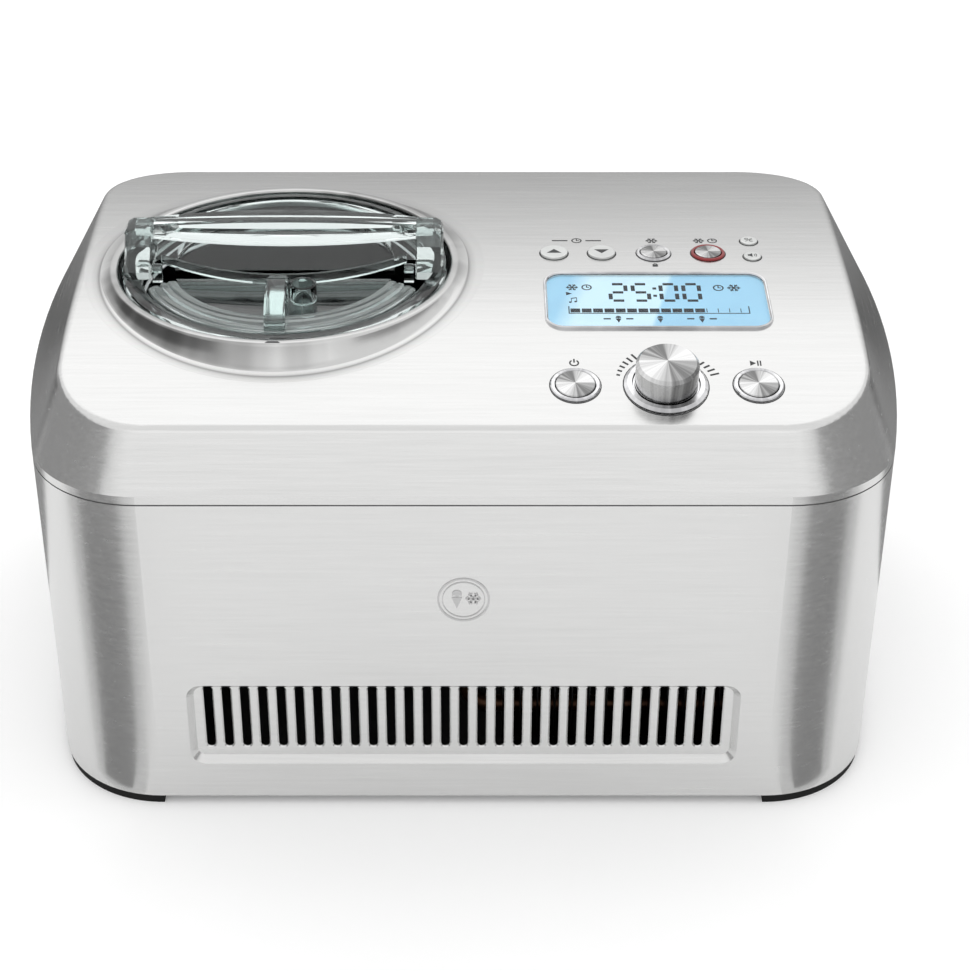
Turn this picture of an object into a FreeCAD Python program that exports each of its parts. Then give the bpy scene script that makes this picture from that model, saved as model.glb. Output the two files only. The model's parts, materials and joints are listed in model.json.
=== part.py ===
import FreeCAD, Part
import math
import os
import Sketcher

# Compressor ice cream maker, in millimetres. +X right, +Y back, +Z up.
# The origin is on the table under the middle of the body.

os.makedirs("parts", exist_ok=True)
doc = FreeCAD.newDocument("ice_cream_maker")
sheet = doc.addObject("Spreadsheet::Sheet", "dims")

DRIVING_SIZES = {
    # body shell, seen from above
    "half_width": 201.6,
    "half_depth": 132.3,
    "widest_y": 30.0,
    "side_radius": 576.0,
    "corner_radius": 51.0,
    "sheet_steel": 1.2,
    # heights of the shell
    "foot_height": 4.6,
    "wrap_top": 163.2,
    "seam_gap": 0.7,
    "lip_top": 167.8,
    # crowned top plateau
    "crest_y": 16.5,
    "crest_z": 213.2,
    "crown_radius": 543.8,
    "hood_top": 225.0,
    "hood_half_width": 168.0,
    "hood_front": -110.4,
    "hood_back": 114.9,
    "hood_side_radius": 9000.0,
    "hood_corner": 38.0,
    "fold_radius": 4.0,
    # pressed vent in the front wall
    "vent_half_width": 124.0,
    "vent_bottom": 23.5,
    "vent_top": 68.0,
    "vent_depth": 3.0,
    "vent_corner": 7.0,
    "slot_pitch": 8.19,
    "slot_width": 4.0,
    "slot_bottom": 31.2,
    "slot_top": 65.0,
    # bowl axis, chamber and collar
    "bowl_x": -82.0,
    "bowl_y": -3.0,
    "bowl_radius": 73.6,
    "bowl_wall": 1.2,
    "bowl_floor": 90.0,
    "bowl_top": 202.4,
    "chamber_gap": 1.0,
    "chamber_floor": 84.0,
    "collar_bore": 76.0,
    "collar_rim": 81.0,
    "collar_foot": 87.0,
    "collar_top": 214.5,
    "collar_bottom": 197.0,
    # clear lid
    "lid_radius": 74.5,
    "lid_bottom": 203.0,
    "lid_top": 213.6,
    "lid_opening": 66.0,
    "flap_gap": 1.4,
    "grip_top": 234.0,
    "grip_half_length": 73.0,
    "grip_back": 12.0,
    "grip_depth": 12.0,
    "grip_thickness": 12.0,
    "hinge_y": -14.5,
    "hinge_z": 216.0,
    # controls on the plateau
    "button_travel": 1.2,
    "large_button": 8.45,
    "large_ring": 10.7,
    "power_x": 47.7,
    "start_x": 125.9,
    "dial_x": 86.4,
    "lower_row_y": -96.4,
    "dial_radius": 13.5,
    "dial_skirt_radius": 18.0,
    "dial_height": 13.0,
    "small_button": 6.05,
    "small_ring": 7.9,
    "arrow_button": 6.3,
    "tiny_button": 4.0,
    "upper_row_y": 6.3,
    "window_x": 86.65,
    "window_y": -35.75,
    "window_length": 101.3,
    "window_width": 45.7,
    "window_corner": 9.0,
    "board_depth": 16.0,
    # drive train
    "gear_module": 1.5,
    "gear_bottom": 54.0,
    "gear_top": 64.0,
    "train_angle": 60.0,
    # refrigeration
    "pot_x": 112.0,
    "pot_y": 52.0,
    "pot_radius": 50.0,
    "tube_radius": 4.0,
    "coil_rings": 9.0,
    "coil_pitch": 11.5,
    "coil_bottom": 98.0,
    "fin_count": 28.0,
    "fin_pitch": 4.0,
    "fin_first_x": 18.0,
    "fan_x": 73.0,
    "fan_z": 58.0,
    "fan_radius": 36.0,
}


class Size:
    """A length with the sheet expression that it comes from."""

    def __init__(self, value, text):
        self.value = value
        self.text = text

    def __add__(self, other):
        return joined(self, "+", other, self.value + sized(other).value)

    def __radd__(self, other):
        return sized(other) + self

    def __sub__(self, other):
        return joined(self, "-", other, self.value - sized(other).value)

    def __rsub__(self, other):
        return sized(other) - self

    def __mul__(self, other):
        return joined(self, "*", other, self.value * sized(other).value)

    def __rmul__(self, other):
        return sized(other) * self

    def __truediv__(self, other):
        return joined(self, "/", other, self.value / sized(other).value)

    def __neg__(self):
        return sized(0.0) - self


def sized(number):
    if isinstance(number, Size):
        return number
    return Size(float(number), f"{float(number):.6f}")


def joined(first, sign, second, value):
    return Size(value, f"({first.text} {sign} {sized(second).text})")


def root_of(size):
    return Size(math.sqrt(size.value), f"sqrt({size.text})")


class Dimensions:
    """Every driving size, written to the sheet and read back by name."""

    def __init__(self):
        for row, (name, value) in enumerate(DRIVING_SIZES.items(), start=1):
            sheet.set(f"A{row}", name)
            sheet.set(f"B{row}", str(value))
            sheet.setAlias(f"B{row}", name)
            setattr(self, name, Size(float(value), f"dims.{name}"))


D = Dimensions()
doc.recompute()

ORIGIN_POINT = (-1, 1)
ACROSS_AXIS = -1
UPRIGHT_AXIS = -2
X_AXIS = FreeCAD.Vector(1, 0, 0)
Y_AXIS = FreeCAD.Vector(0, 1, 0)
Z_AXIS = FreeCAD.Vector(0, 0, 1)
FIT_GAP = 0.3
NODES = []


# ---------------------------------------------------------------- helpers

def bind(thing, path, size):
    thing.setExpression(path, sized(size).text)


def place(thing, x=0.0, y=0.0, z=0.0, axis=Z_AXIS, angle=0.0):
    corner = FreeCAD.Vector(sized(x).value, sized(y).value, sized(z).value)
    thing.Placement = FreeCAD.Placement(corner, FreeCAD.Rotation(axis, angle))
    for path, size in (("x", x), ("y", y), ("z", z)):
        bind(thing, f"Placement.Base.{path}", size)
    return thing


def node(thing, label):
    """Mark a finished object as one sub-part."""
    thing.Label = label
    NODES.append(thing)
    return thing


def new_body(name):
    body = doc.addObject("PartDesign::Body", name)
    body.AllowCompound = True
    return body


def new_sketch(body, role, offset=None):
    sketch = body.newObject("Sketcher::SketchObject", "outline")
    planes = [f for f in body.Origin.OriginFeatures if f.Role == role]
    sketch.AttachmentSupport = [(planes[0], "")]
    sketch.MapMode = "FlatFace"
    if offset is not None:
        bind(sketch, "AttachmentOffset.Base.z", offset)
    return sketch


def fix_point(sketch, edge, end, x, y):
    """Hold one sketch point at x, y from the sketch origin."""
    for kind, axis, size in (("DistanceX", UPRIGHT_AXIS, sized(x)),
                             ("DistanceY", ACROSS_AXIS, sized(y))):
        if abs(size.value) < 1e-9:
            sketch.addConstraint(Sketcher.Constraint("PointOnObject", edge, end, axis))
            continue
        rule = Sketcher.Constraint(kind, *ORIGIN_POINT, edge, end, size.value)
        bind(sketch, f"Constraints[{sketch.addConstraint(rule)}]", size)


def fix_radius(sketch, edge, radius):
    rule = Sketcher.Constraint("Radius", edge, sized(radius).value)
    bind(sketch, f"Constraints[{sketch.addConstraint(rule)}]", radius)


def draw_polygon(sketch, corners):
    spots = [FreeCAD.Vector(sized(x).value, sized(y).value, 0) for x, y in corners]
    first = sketch.GeometryCount
    for here, there in zip(spots, spots[1:] + spots[:1]):
        sketch.addGeometry(Part.LineSegment(here, there), False)
    for index, (x, y) in enumerate(corners):
        before = first + (index - 1) % len(corners)
        sketch.addConstraint(Sketcher.Constraint("Coincident", before, 2, first + index, 1))
        fix_point(sketch, first + index, 1, x, y)


def draw_circle(sketch, x, y, radius):
    centre = FreeCAD.Vector(sized(x).value, sized(y).value, 0)
    edge = sketch.addGeometry(Part.Circle(centre, Z_AXIS, sized(radius).value), False)
    fix_radius(sketch, edge, radius)
    fix_point(sketch, edge, 3, x, y)


def arc_between(centre, radius, start, end):
    circle = Part.Circle(FreeCAD.Vector(*centre, 0), Z_AXIS, radius)
    return Part.ArcOfCircle(circle, start, end)


def join_tangent(sketch, edges):
    for here, there in zip(edges, edges[1:] + edges[:1]):
        sketch.addConstraint(Sketcher.Constraint("Tangent", here, 2, there, 1))


def draw_rounded_box(sketch, x0, x1, y0, y1, radius):
    """A rectangle with equal rounded corners, drawn anticlockwise."""
    left, right, low, high, r = (sized(v).value for v in (x0, x1, y0, y1, radius))
    quarter = math.pi / 2
    vector = FreeCAD.Vector
    shapes = [
        Part.LineSegment(vector(left + r, low, 0), vector(right - r, low, 0)),
        arc_between((right - r, low + r), r, -quarter, 0),
        Part.LineSegment(vector(right, low + r, 0), vector(right, high - r, 0)),
        arc_between((right - r, high - r), r, 0, quarter),
        Part.LineSegment(vector(right - r, high, 0), vector(left + r, high, 0)),
        arc_between((left + r, high - r), r, quarter, 2 * quarter),
        Part.LineSegment(vector(left, high - r, 0), vector(left, low + r, 0)),
        arc_between((left + r, low + r), r, 2 * quarter, 3 * quarter),
    ]
    edges = [sketch.addGeometry(shape, False) for shape in shapes]
    join_tangent(sketch, edges)
    for edge in (edges[0], edges[4]):
        sketch.addConstraint(Sketcher.Constraint("Horizontal", edge))
    for edge in (edges[2], edges[6]):
        sketch.addConstraint(Sketcher.Constraint("Vertical", edge))
    for edge in edges[1::2]:
        fix_radius(sketch, edge, radius)
    for kind, edge, size in (("DistanceY", edges[0], y0), ("DistanceY", edges[4], y1),
                             ("DistanceX", edges[2], x1), ("DistanceX", edges[6], x0)):
        rule = Sketcher.Constraint(kind, *ORIGIN_POINT, edge, 1, sized(size).value)
        bind(sketch, f"Constraints[{sketch.addConstraint(rule)}]", size)


class Outline:
    """The body's plan: straight front and back, bowed sides, round corners."""

    def __init__(self, half_width, widest_y, side_radius, front, back, corner):
        self.half_width = half_width
        self.widest_y = widest_y
        self.side_radius = side_radius
        self.front = front
        self.back = back
        self.corner = corner

    def inset(self, step):
        return Outline(self.half_width - step, self.widest_y, self.side_radius - step,
                       self.front + step, self.back - step, self.corner - step)

    def corner_centre(self, line_y, inward):
        """Centre of the right-hand corner that touches the line at line_y."""
        y = line_y.value + inward * self.corner.value
        reach = self.side_radius.value - self.corner.value
        side_x = self.half_width.value - self.side_radius.value
        return side_x + math.sqrt(reach ** 2 - (y - self.widest_y.value) ** 2), y

    def draw(self, sketch):
        """Anticlockwise from the front line."""
        side_x = self.half_width - self.side_radius
        side = self.side_radius.value
        corner = self.corner.value
        front_x, front_y = self.corner_centre(self.front, 1)
        back_x, back_y = self.corner_centre(self.back, -1)
        low = math.atan2(front_y - self.widest_y.value, front_x - side_x.value)
        high = math.atan2(back_y - self.widest_y.value, back_x - side_x.value)
        quarter = math.pi / 2
        vector = FreeCAD.Vector
        front, back, widest = self.front.value, self.back.value, self.widest_y.value
        shapes = [
            Part.LineSegment(vector(-front_x, front, 0), vector(front_x, front, 0)),
            arc_between((front_x, front_y), corner, -quarter, low),
            arc_between((side_x.value, widest), side, low, high),
            arc_between((back_x, back_y), corner, high, quarter),
            Part.LineSegment(vector(back_x, back, 0), vector(-back_x, back, 0)),
            arc_between((-back_x, back_y), corner, quarter, math.pi - high),
            arc_between((-side_x.value, widest), side, math.pi - high, math.pi - low),
            arc_between((-front_x, front_y), corner, math.pi - low, 3 * quarter),
        ]
        edges = [sketch.addGeometry(shape, False) for shape in shapes]
        join_tangent(sketch, edges)
        for edge, y in ((edges[0], self.front), (edges[4], self.back)):
            sketch.addConstraint(Sketcher.Constraint("Horizontal", edge))
            rule = Sketcher.Constraint("DistanceY", *ORIGIN_POINT, edge, 1, y.value)
            bind(sketch, f"Constraints[{sketch.addConstraint(rule)}]", y)
        for edge, radius in zip(edges[1:4] + edges[5:], [self.corner, self.side_radius,
                                                         self.corner] * 2):
            fix_radius(sketch, edge, radius)
        fix_point(sketch, edges[2], 3, side_x, self.widest_y)
        fix_point(sketch, edges[6], 3, -side_x, self.widest_y)


def pad(body, sketch, length, name="pad"):
    feature = body.newObject("PartDesign::Pad", name)
    feature.Profile = sketch
    bind(feature, "Length", length)
    sketch.Visibility = False
    return feature


def plate(name, draw, z0, z1):
    """A body padded from z0 to z1; draw fills its sketch."""
    body = new_body(name)
    sketch = new_sketch(body, "XY_Plane", z0)
    draw(sketch)
    pad(body, sketch, sized(z1) - z0)
    return body


def turned(name, profile, x=0.0, y=0.0, z=0.0, axis=Z_AXIS, angle=0.0):
    """A body turned about its upright axis from (radius, height) corners."""
    body = new_body(name)
    sketch = new_sketch(body, "XZ_Plane")
    draw_polygon(sketch, profile)
    turn = body.newObject("PartDesign::Revolution", "turn")
    turn.Profile = sketch
    turn.ReferenceAxis = (sketch, ["V_Axis"])
    turn.Angle = 360
    return place(body, x, y, z, axis, angle)


def round_edges(body, radius, wanted):
    """Fillet the edges of the body's last feature that wanted() picks."""
    doc.recompute()
    last = body.Tip
    names = [f"Edge{i}" for i, edge in enumerate(last.Shape.Edges, start=1) if wanted(edge)]
    fillet = body.newObject("PartDesign::Fillet", "rounding")
    fillet.Base = (last, names)
    bind(fillet, "Radius", radius)
    return body


def circle_at(height, radius=None):
    """Picks the full circles at a height, and of a radius if one is given."""
    def wanted(edge):
        if not isinstance(edge.Curve, Part.Circle):
            return False
        box = edge.BoundBox
        level = abs(box.ZMin - height) < 0.01 and abs(box.ZMax - height) < 0.01
        return level and (radius is None or abs(edge.Curve.Radius - radius) < 0.01)
    return wanted


def cylinder(radius, z0, z1, x=0.0, y=0.0):
    rod = doc.addObject("Part::Cylinder", "rod")
    bind(rod, "Radius", radius)
    bind(rod, "Height", sized(z1) - z0)
    return place(rod, x, y, z0)


def cylinder_along(axis_name, radius, start, length, x=0.0, y=0.0, z=0.0):
    """A rod along X or Y from start, at the other two coordinates."""
    rod = doc.addObject("Part::Cylinder", "rod")
    bind(rod, "Radius", radius)
    bind(rod, "Height", length)
    if axis_name == "x":
        return place(rod, start, y, z, Y_AXIS, 90)
    return place(rod, x, start, z, X_AXIS, -90)


def block(x0, x1, y0, y1, z0, z1):
    box = doc.addObject("Part::Box", "block")
    bind(box, "Length", sized(x1) - x0)
    bind(box, "Width", sized(y1) - y0)
    bind(box, "Height", sized(z1) - z0)
    return place(box, x0, y0, z0)


def joined_solids(pieces):
    whole = doc.addObject("Part::MultiFuse", "joined")
    whole.Shapes = pieces
    return whole


def grouped(pieces):
    """Separate solids kept in one node."""
    group = doc.addObject("Part::Compound", "group")
    group.Links = pieces
    return group


def cut(base, tools):
    result = doc.addObject("Part::Cut", "cut")
    result.Base = base
    result.Tool = tools[0] if len(tools) == 1 else joined_solids(tools)
    return result


def overlap_of(first, second):
    result = doc.addObject("Part::Common", "overlap")
    result.Base = first
    result.Tool = second
    return result


def crown_z(y):
    """Height of the plateau at y."""
    side = sized(y) - D.crest_y
    return D.crest_z - D.crown_radius + root_of(D.crown_radius * D.crown_radius - side * side)


def crown_tilt(y):
    """How far the plateau leans towards the front at y, in degrees."""
    return math.degrees(math.asin((D.crest_y.value - sized(y).value) / D.crown_radius.value))


def on_plateau(thing, x, y):
    """Stand a thing that was made about its own +Z on the plateau at x, y."""
    return place(thing, x, y, crown_z(y), X_AXIS, crown_tilt(y))


def pipe(points, radius, bends):
    """A tube through the points; bends holds each corner's radius, or one for all."""
    spots = [FreeCAD.Vector(*(sized(v).value for v in point)) for point in points]
    if not isinstance(bends, list):
        bends = [bends] * (len(spots) - 2)
    edges = []
    here = spots[0]
    for before, corner, after, bend in zip(spots, spots[1:], spots[2:], bends):
        back = (before - corner).normalize()
        ahead = (after - corner).normalize()
        half_turn = (math.pi - back.getAngle(ahead)) / 2
        trim = bend * math.tan(half_turn)
        middle = (back + ahead).normalize() * (bend / math.cos(half_turn) - bend)
        start, end = corner + back * trim, corner + ahead * trim
        edges.append(Part.LineSegment(here, start).toShape())
        edges.append(Part.Arc(start, corner + middle, end).toShape())
        here = end
    edges.append(Part.LineSegment(here, spots[-1]).toShape())
    path = Part.Wire(edges)
    ring = Part.Circle(spots[0], spots[1] - spots[0], radius.value)
    tube = doc.addObject("Part::Feature", "pipe")
    tube.Shape = path.makePipeShell([Part.Wire([ring.toShape()])], True, True)
    return tube


# ---------------------------------------------------------------- shell

REAR_HALF_WIDTH = 145.0
REAR_BOTTOM = 22.0
REAR_TOP = 148.0
REAR_CORNER = 8.0
LOUVRE_START = 6.0
LOUVRE_END = 128.0
LOUVRE_BOTTOM = 62.0
LOUVRE_HEIGHT = 3.0
LOUVRE_PITCH = 7.0
LOUVRE_ROWS = 11
FOOT_START_X = 138.0
FOOT_START_Y = 62.0

SHELL = Outline(D.half_width, D.widest_y, D.side_radius,
                -D.half_depth, D.half_depth, D.corner_radius)
HOOD = Outline(D.hood_half_width, D.widest_y, D.hood_side_radius,
               D.hood_front, D.hood_back, D.hood_corner)
LIP_BOTTOM = D.wrap_top + D.seam_gap


def ring_plate(name, outer, inner, z0, z1):
    """An upright band between two insets of the shell outline."""
    def draw(sketch):
        SHELL.inset(outer).draw(sketch)
        SHELL.inset(inner).draw(sketch)
    return plate(name, draw, z0, z1)


def vent_frustum(body, kind, spread, depth):
    """The pressed vent's shape, wide at the front wall and narrower behind."""
    sections = []
    for step, behind in ((spread, sized(0.0)), (spread - depth, depth)):
        sketch = new_sketch(body, "XZ_Plane", D.half_depth - behind)
        draw_rounded_box(sketch, -D.vent_half_width - step, D.vent_half_width + step,
                         D.vent_bottom - step, D.vent_top + step, D.vent_corner + step)
        sections.append(sketch)
    loft = body.newObject(kind, "vent")
    loft.Profile = sections[0]
    loft.Sections = [sections[1]]
    loft.Ruled = True


def body_wrap():
    """Steel band round the body, with the pressed vent at the front."""
    body = ring_plate("wrap", sized(0.0), D.sheet_steel, D.foot_height, D.wrap_top)
    vent_frustum(body, "PartDesign::AdditiveLoft", sized(0.5), D.vent_depth + D.sheet_steel)
    vent_frustum(body, "PartDesign::SubtractiveLoft", sized(0.0), D.vent_depth)
    pitch = D.slot_pitch
    reach = 14
    floor_y = D.half_depth - D.vent_depth
    slot = new_sketch(body, "XZ_Plane", floor_y)
    half = D.slot_width / 2
    draw_rounded_box(slot, -half - reach * pitch, half - reach * pitch,
                     D.slot_bottom, D.slot_top, half - 0.02)
    hole = body.newObject("PartDesign::Pocket", "slot")
    hole.Profile = slot
    bind(hole, "Length", D.sheet_steel * 3)
    mouths = []
    for widen, behind in ((0.7, -0.05), (0.0, 0.6)):
        sketch = new_sketch(body, "XZ_Plane", floor_y - behind)
        draw_rounded_box(sketch, -half - reach * pitch - widen, half - reach * pitch + widen,
                         D.slot_bottom - widen, D.slot_top + widen, half - 0.02 + widen)
        mouths.append(sketch)
    flare = body.newObject("PartDesign::SubtractiveLoft", "slot_mouth")
    flare.Profile = mouths[0]
    flare.Sections = [mouths[1]]
    flare.Ruled = True
    row = body.newObject("PartDesign::LinearPattern", "slots")
    row.Originals = [hole, flare]
    row.Direction = (slot, ["H_Axis"])
    bind(row, "Length", 2 * reach * pitch)
    row.Occurrences = 2 * reach + 1
    body.Tip = row
    window = new_sketch(body, "XZ_Plane", -D.half_depth - 1)
    draw_rear_box(window, 0.0)
    rear_pocket(body, window, D.sheet_steel + 3)
    return node(body, "body_wrap")


def draw_rear_box(sketch, grow):
    """The rear opening's outline, grown on every side."""
    half = REAR_HALF_WIDTH + grow
    draw_rounded_box(sketch, -half, half, REAR_BOTTOM - grow, REAR_TOP + grow, REAR_CORNER + grow)


def arch_cutter(drop):
    """Everything above the plateau, lowered by drop."""
    body = new_body("arch")
    sketch = new_sketch(body, "YZ_Plane", -D.half_width)
    top = D.hood_top + 10
    reach = D.half_depth
    radius = D.crown_radius - drop
    side = D.crown_radius - D.crest_z
    draw_polygon(sketch, [(-reach, -side), (reach, -side), (reach, top), (-reach, top)])
    pad(body, sketch, 2 * D.half_width)
    round_sketch = new_sketch(body, "YZ_Plane", -D.half_width - 1)
    draw_circle(round_sketch, D.crest_y, -side, radius)
    bore = body.newObject("PartDesign::Pocket", "round_bore")
    bore.Profile = round_sketch
    bore.Reversed = True
    bind(bore, "Length", 2 * D.half_width + 2)
    return body


def hood(inset):
    """Lip, shoulders and crowned plateau as one solid."""
    body = new_body("hood")
    base = SHELL.inset(inset)
    lip = new_sketch(body, "XY_Plane", LIP_BOTTOM - inset)
    base.draw(lip)
    pad(body, lip, D.lip_top - LIP_BOTTOM + inset, "lip")
    low = new_sketch(body, "XY_Plane", D.lip_top)
    base.draw(low)
    high = new_sketch(body, "XY_Plane", D.hood_top)
    HOOD.inset(inset).draw(high)
    loft = body.newObject("PartDesign::AdditiveLoft", "shoulders")
    loft.Profile = low
    loft.Sections = [high]
    loft.Ruled = True
    return cut(body, [arch_cutter(inset)])


def plateau_edges(shape):
    """Names of the edges between the plateau and the shoulders."""
    names = []
    for index, edge in enumerate(shape.Edges, start=1):
        middle = edge.valueAt((edge.FirstParameter + edge.LastParameter) / 2)
        if abs(middle.z - crown_z(middle.y).value) < 0.01:
            names.append(index)
    return names


def rounded_hood():
    plain = hood(sized(0.0))
    doc.recompute()
    fillet = doc.addObject("Part::Fillet", "folds")
    fillet.Base = plain
    radius = D.fold_radius.value
    fillet.Edges = [(index, radius, radius) for index in plateau_edges(plain.Shape)]
    return fillet


def control_hole(radius, x, y):
    return place_local(cylinder(radius, 0, 2 * HOLE_REACH), x, y, -HOLE_REACH)


def top_cover():
    """Pressed steel top, open for the collar, the display and the controls."""
    shell = cut(rounded_hood(), [hood(D.sheet_steel)])
    tools = [cylinder(D.collar_foot + FIT_GAP, D.collar_bottom - 8, D.hood_top,
                      D.bowl_x, D.bowl_y)]
    for _, x, y, radius, ring in BUTTONS:
        bore = radius + FIT_GAP if ring is None else ring - RING_LEDGE
        tools.append(control_hole(bore, x, y))
    tools.append(control_hole(D.dial_radius - 2, D.dial_x, D.lower_row_y))
    half_x = D.window_length / 2 - BEZEL_LEDGE
    half_y = D.window_width / 2 - BEZEL_LEDGE

    def draw(sketch):
        draw_rounded_box(sketch, -half_x, half_x, -half_y, half_y, D.window_corner - BEZEL_LEDGE)

    window = plate("window_hole", draw, -HOLE_REACH, HOLE_REACH)
    tools.append(on_plateau(window, D.window_x, D.window_y))
    return node(cut(shell, tools), "top_cover")


def cover_gasket():
    """Dark strip between the band and the top."""
    gasket = ring_plate("gasket", sized(0.6), sized(5.0), D.wrap_top, LIP_BOTTOM)
    return node(gasket, "cover_gasket")


def base_pan():
    """Moulded tray that closes the underside and carries the works."""
    floor_top = D.foot_height + 3
    floor = plate("pan_floor", SHELL.inset(D.sheet_steel + FIT_GAP).draw, D.foot_height, floor_top)
    wall = ring_plate("pan_wall", D.sheet_steel + FIT_GAP, D.sheet_steel + FIT_GAP + 2.5,
                      floor_top, D.foot_height + 14)
    slots = []
    for index in range(9):
        x = 30 + index * 12
        slots.append(block(x, x + 5, -70, -20, D.foot_height - 1, floor_top + 1))
    for x, y in BASE_SCREWS:
        slots.append(cylinder(1.8, D.foot_height - 1, floor_top + 1, x, y))
    return node(cut(joined_solids([floor, wall]), slots), "base_pan")


def feet():
    """A rubber foot wraps under each corner of the band."""
    for name, side_x, side_y in (("front_left_foot", -1, -1), ("front_right_foot", 1, -1),
                                 ("rear_left_foot", -1, 1), ("rear_right_foot", 1, 1)):
        band = ring_plate("foot_band", sized(0.8), sized(24.0), sized(0.0), D.foot_height)
        inner_x, inner_y = side_x * FOOT_START_X, side_y * FOOT_START_Y
        outer_x, outer_y = side_x * D.half_width, side_y * D.half_depth
        x0, x1 = sorted((sized(inner_x), sized(outer_x)), key=lambda size: size.value)
        y0, y1 = sorted((sized(inner_y), sized(outer_y)), key=lambda size: size.value)
        corner = block(x0, x1, y0, y1, -1, D.foot_height + 1)
        node(overlap_of(band, corner), name)


def back_panel():
    """Dark louvred panel over the rear opening."""
    outside = -D.half_depth
    body = new_body("panel")
    face = new_sketch(body, "XZ_Plane", outside)
    draw_rear_box(face, -FIT_GAP)
    pad(body, face, 3)
    flange = new_sketch(body, "XZ_Plane", outside + D.sheet_steel)
    draw_rear_box(flange, 2.8)
    pad(body, flange, 2, "flange")
    slot = new_sketch(body, "XZ_Plane", outside - 1)
    top = LOUVRE_BOTTOM + LOUVRE_HEIGHT
    draw_rounded_box(slot, -LOUVRE_END, -LOUVRE_START, LOUVRE_BOTTOM, top, 1.4)
    draw_rounded_box(slot, LOUVRE_START, LOUVRE_END, LOUVRE_BOTTOM, top, 1.4)
    louvre = rear_pocket(body, slot, 8)
    rows = body.newObject("PartDesign::LinearPattern", "louvres")
    rows.Originals = [louvre]
    rows.Direction = (slot, ["V_Axis"])
    rows.Length = LOUVRE_PITCH * (LOUVRE_ROWS - 1)
    rows.Occurrences = LOUVRE_ROWS
    body.Tip = rows
    holes = new_sketch(body, "XZ_Plane", outside - 1)
    draw_circle(holes, GLAND_X, GLAND_Z, GLAND_NECK + 0.1)
    sinks = new_sketch(body, "XZ_Plane", outside - 1)
    for x, z in PANEL_SCREWS:
        draw_circle(holes, x, z, 1.8)
        draw_circle(sinks, x, z, 3.3)
    rear_pocket(body, holes, 8)
    rear_pocket(body, sinks, 1 + SCREW_SINK)
    return node(body, "back_panel")


def rear_pocket(body, sketch, depth):
    """Cut forwards from a sketch that stands behind the body."""
    pocket = body.newObject("PartDesign::Pocket", "rear_cut")
    pocket.Profile = sketch
    pocket.Reversed = True
    bind(pocket, "Length", depth)
    return pocket


def cord_gland():
    """Rubber bush where the mains lead passes through the back panel."""
    bush = turned("gland", [(GLAND_BORE, 0), (GLAND_NECK - 1.5, 0), (GLAND_NECK, 1.5),
                            (GLAND_NECK, 8), (GLAND_BORE, 8)],
                  GLAND_X, D.half_depth, GLAND_Z, X_AXIS, 90)
    return node(bush, "cord_gland")


def screw(head_radius, head_height, shank_radius, length):
    """A pan-head screw, head up, with its seat at its own zero."""
    return [(0, -length), (shank_radius, -length), (shank_radius, 0), (head_radius, 0),
            (head_radius, head_height * 0.5), (head_radius * 0.6, head_height), (0, head_height)]


def screws():
    """The pan screws from below and the panel screws from behind."""
    pieces = []
    for x, y in BASE_SCREWS:
        pieces.append(turned("screw", screw(3.2, 2.2, 1.5, 9), x, y, D.foot_height, X_AXIS, 180))
    for x, z in PANEL_SCREWS:
        seat = D.half_depth - SCREW_SINK
        pieces.append(turned("screw", screw(3.0, 2.0, 1.5, 7), x, seat, z, X_AXIS, -90))
    node(grouped(pieces), "housing_screws")


GLAND_X = 120.0
GLAND_Z = 38.0
GLAND_BORE = 3.8
GLAND_NECK = 7.0
SCREW_SINK = 2.2
BASE_SCREWS = [(-150, -70), (-30, -105), (150, -70), (-165, 35), (20, 105), (165, 75)]
PANEL_SCREWS = [(-136, 32), (-136, 138), (136, 138), (136, 32)]

# name, x, y, button radius, ring radius (None where the button has no ring)
BUTTONS = [
    ("power_button", D.power_x, D.lower_row_y, D.large_button, D.large_ring),
    ("start_button", D.start_x, D.lower_row_y, D.large_button, D.large_ring),
    ("up_button", sized(41.9), D.upper_row_y, D.arrow_button, None),
    ("down_button", sized(63.9), D.upper_row_y, D.arrow_button, None),
    ("pre_cool_button", sized(88.0), D.upper_row_y, D.small_button, D.small_ring),
    ("keep_cool_button", sized(113.2), D.upper_row_y, D.small_button, D.small_ring),
    ("temperature_unit_button", sized(133.4), sized(18.6), D.tiny_button, None),
    ("sound_button", sized(133.4), sized(2.9), D.tiny_button, None),
]


# ---------------------------------------------------------------- controls

STEM_LENGTH = 8.0
SWITCH_RADIUS = 3.2
SWITCH_GAP = 0.9
RING_LEDGE = 0.8
BEZEL_LEDGE = 1.6
HOLE_REACH = 8.0


def button(name, x, y, radius):
    """A dished cap on a stem that reaches the switch below."""
    rise = 1.3 if radius.value > D.tiny_button.value else 1.0
    cap = turned(name, [(0, -STEM_LENGTH), (2, -STEM_LENGTH), (2, -3), (radius, -3),
                        (radius, rise), (0, rise)])
    round_edges(cap, 0.5, circle_at(rise, radius.value))
    return node(on_plateau(cap, x, y), name)


def button_ring(name, x, y, bore, radius):
    """A turned ring in the cover round one button."""
    neck = radius - RING_LEDGE - 0.15
    ring = turned(name, [(bore, -3.4), (neck, -3.4), (neck, 0), (radius, 0), (radius, 0.5),
                         (radius - 0.5, 1.0), (bore + 0.3, 1.0), (bore, 0.7)])
    return node(on_plateau(ring, x, y), name)


def switch_top():
    """Depth below the plateau that a button's stem may reach."""
    return STEM_LENGTH + D.button_travel.value + 0.4


def controls():
    for name, x, y, radius, ring in BUTTONS:
        button(name, x, y, radius)
        if ring is not None:
            button_ring(name.replace("button", "ring"), x, y, radius + FIT_GAP, ring)
    switches = []
    for _, x, y, _, _ in BUTTONS:
        away = y - D.window_y
        depth = D.board_depth - away * away / (2 * D.crown_radius) - SWITCH_GAP
        post = cylinder(SWITCH_RADIUS, -depth, -switch_top())
        switches.append(place_local(post, x, y, -depth))
    node(grouped(switches), "tact_switches")


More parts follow.
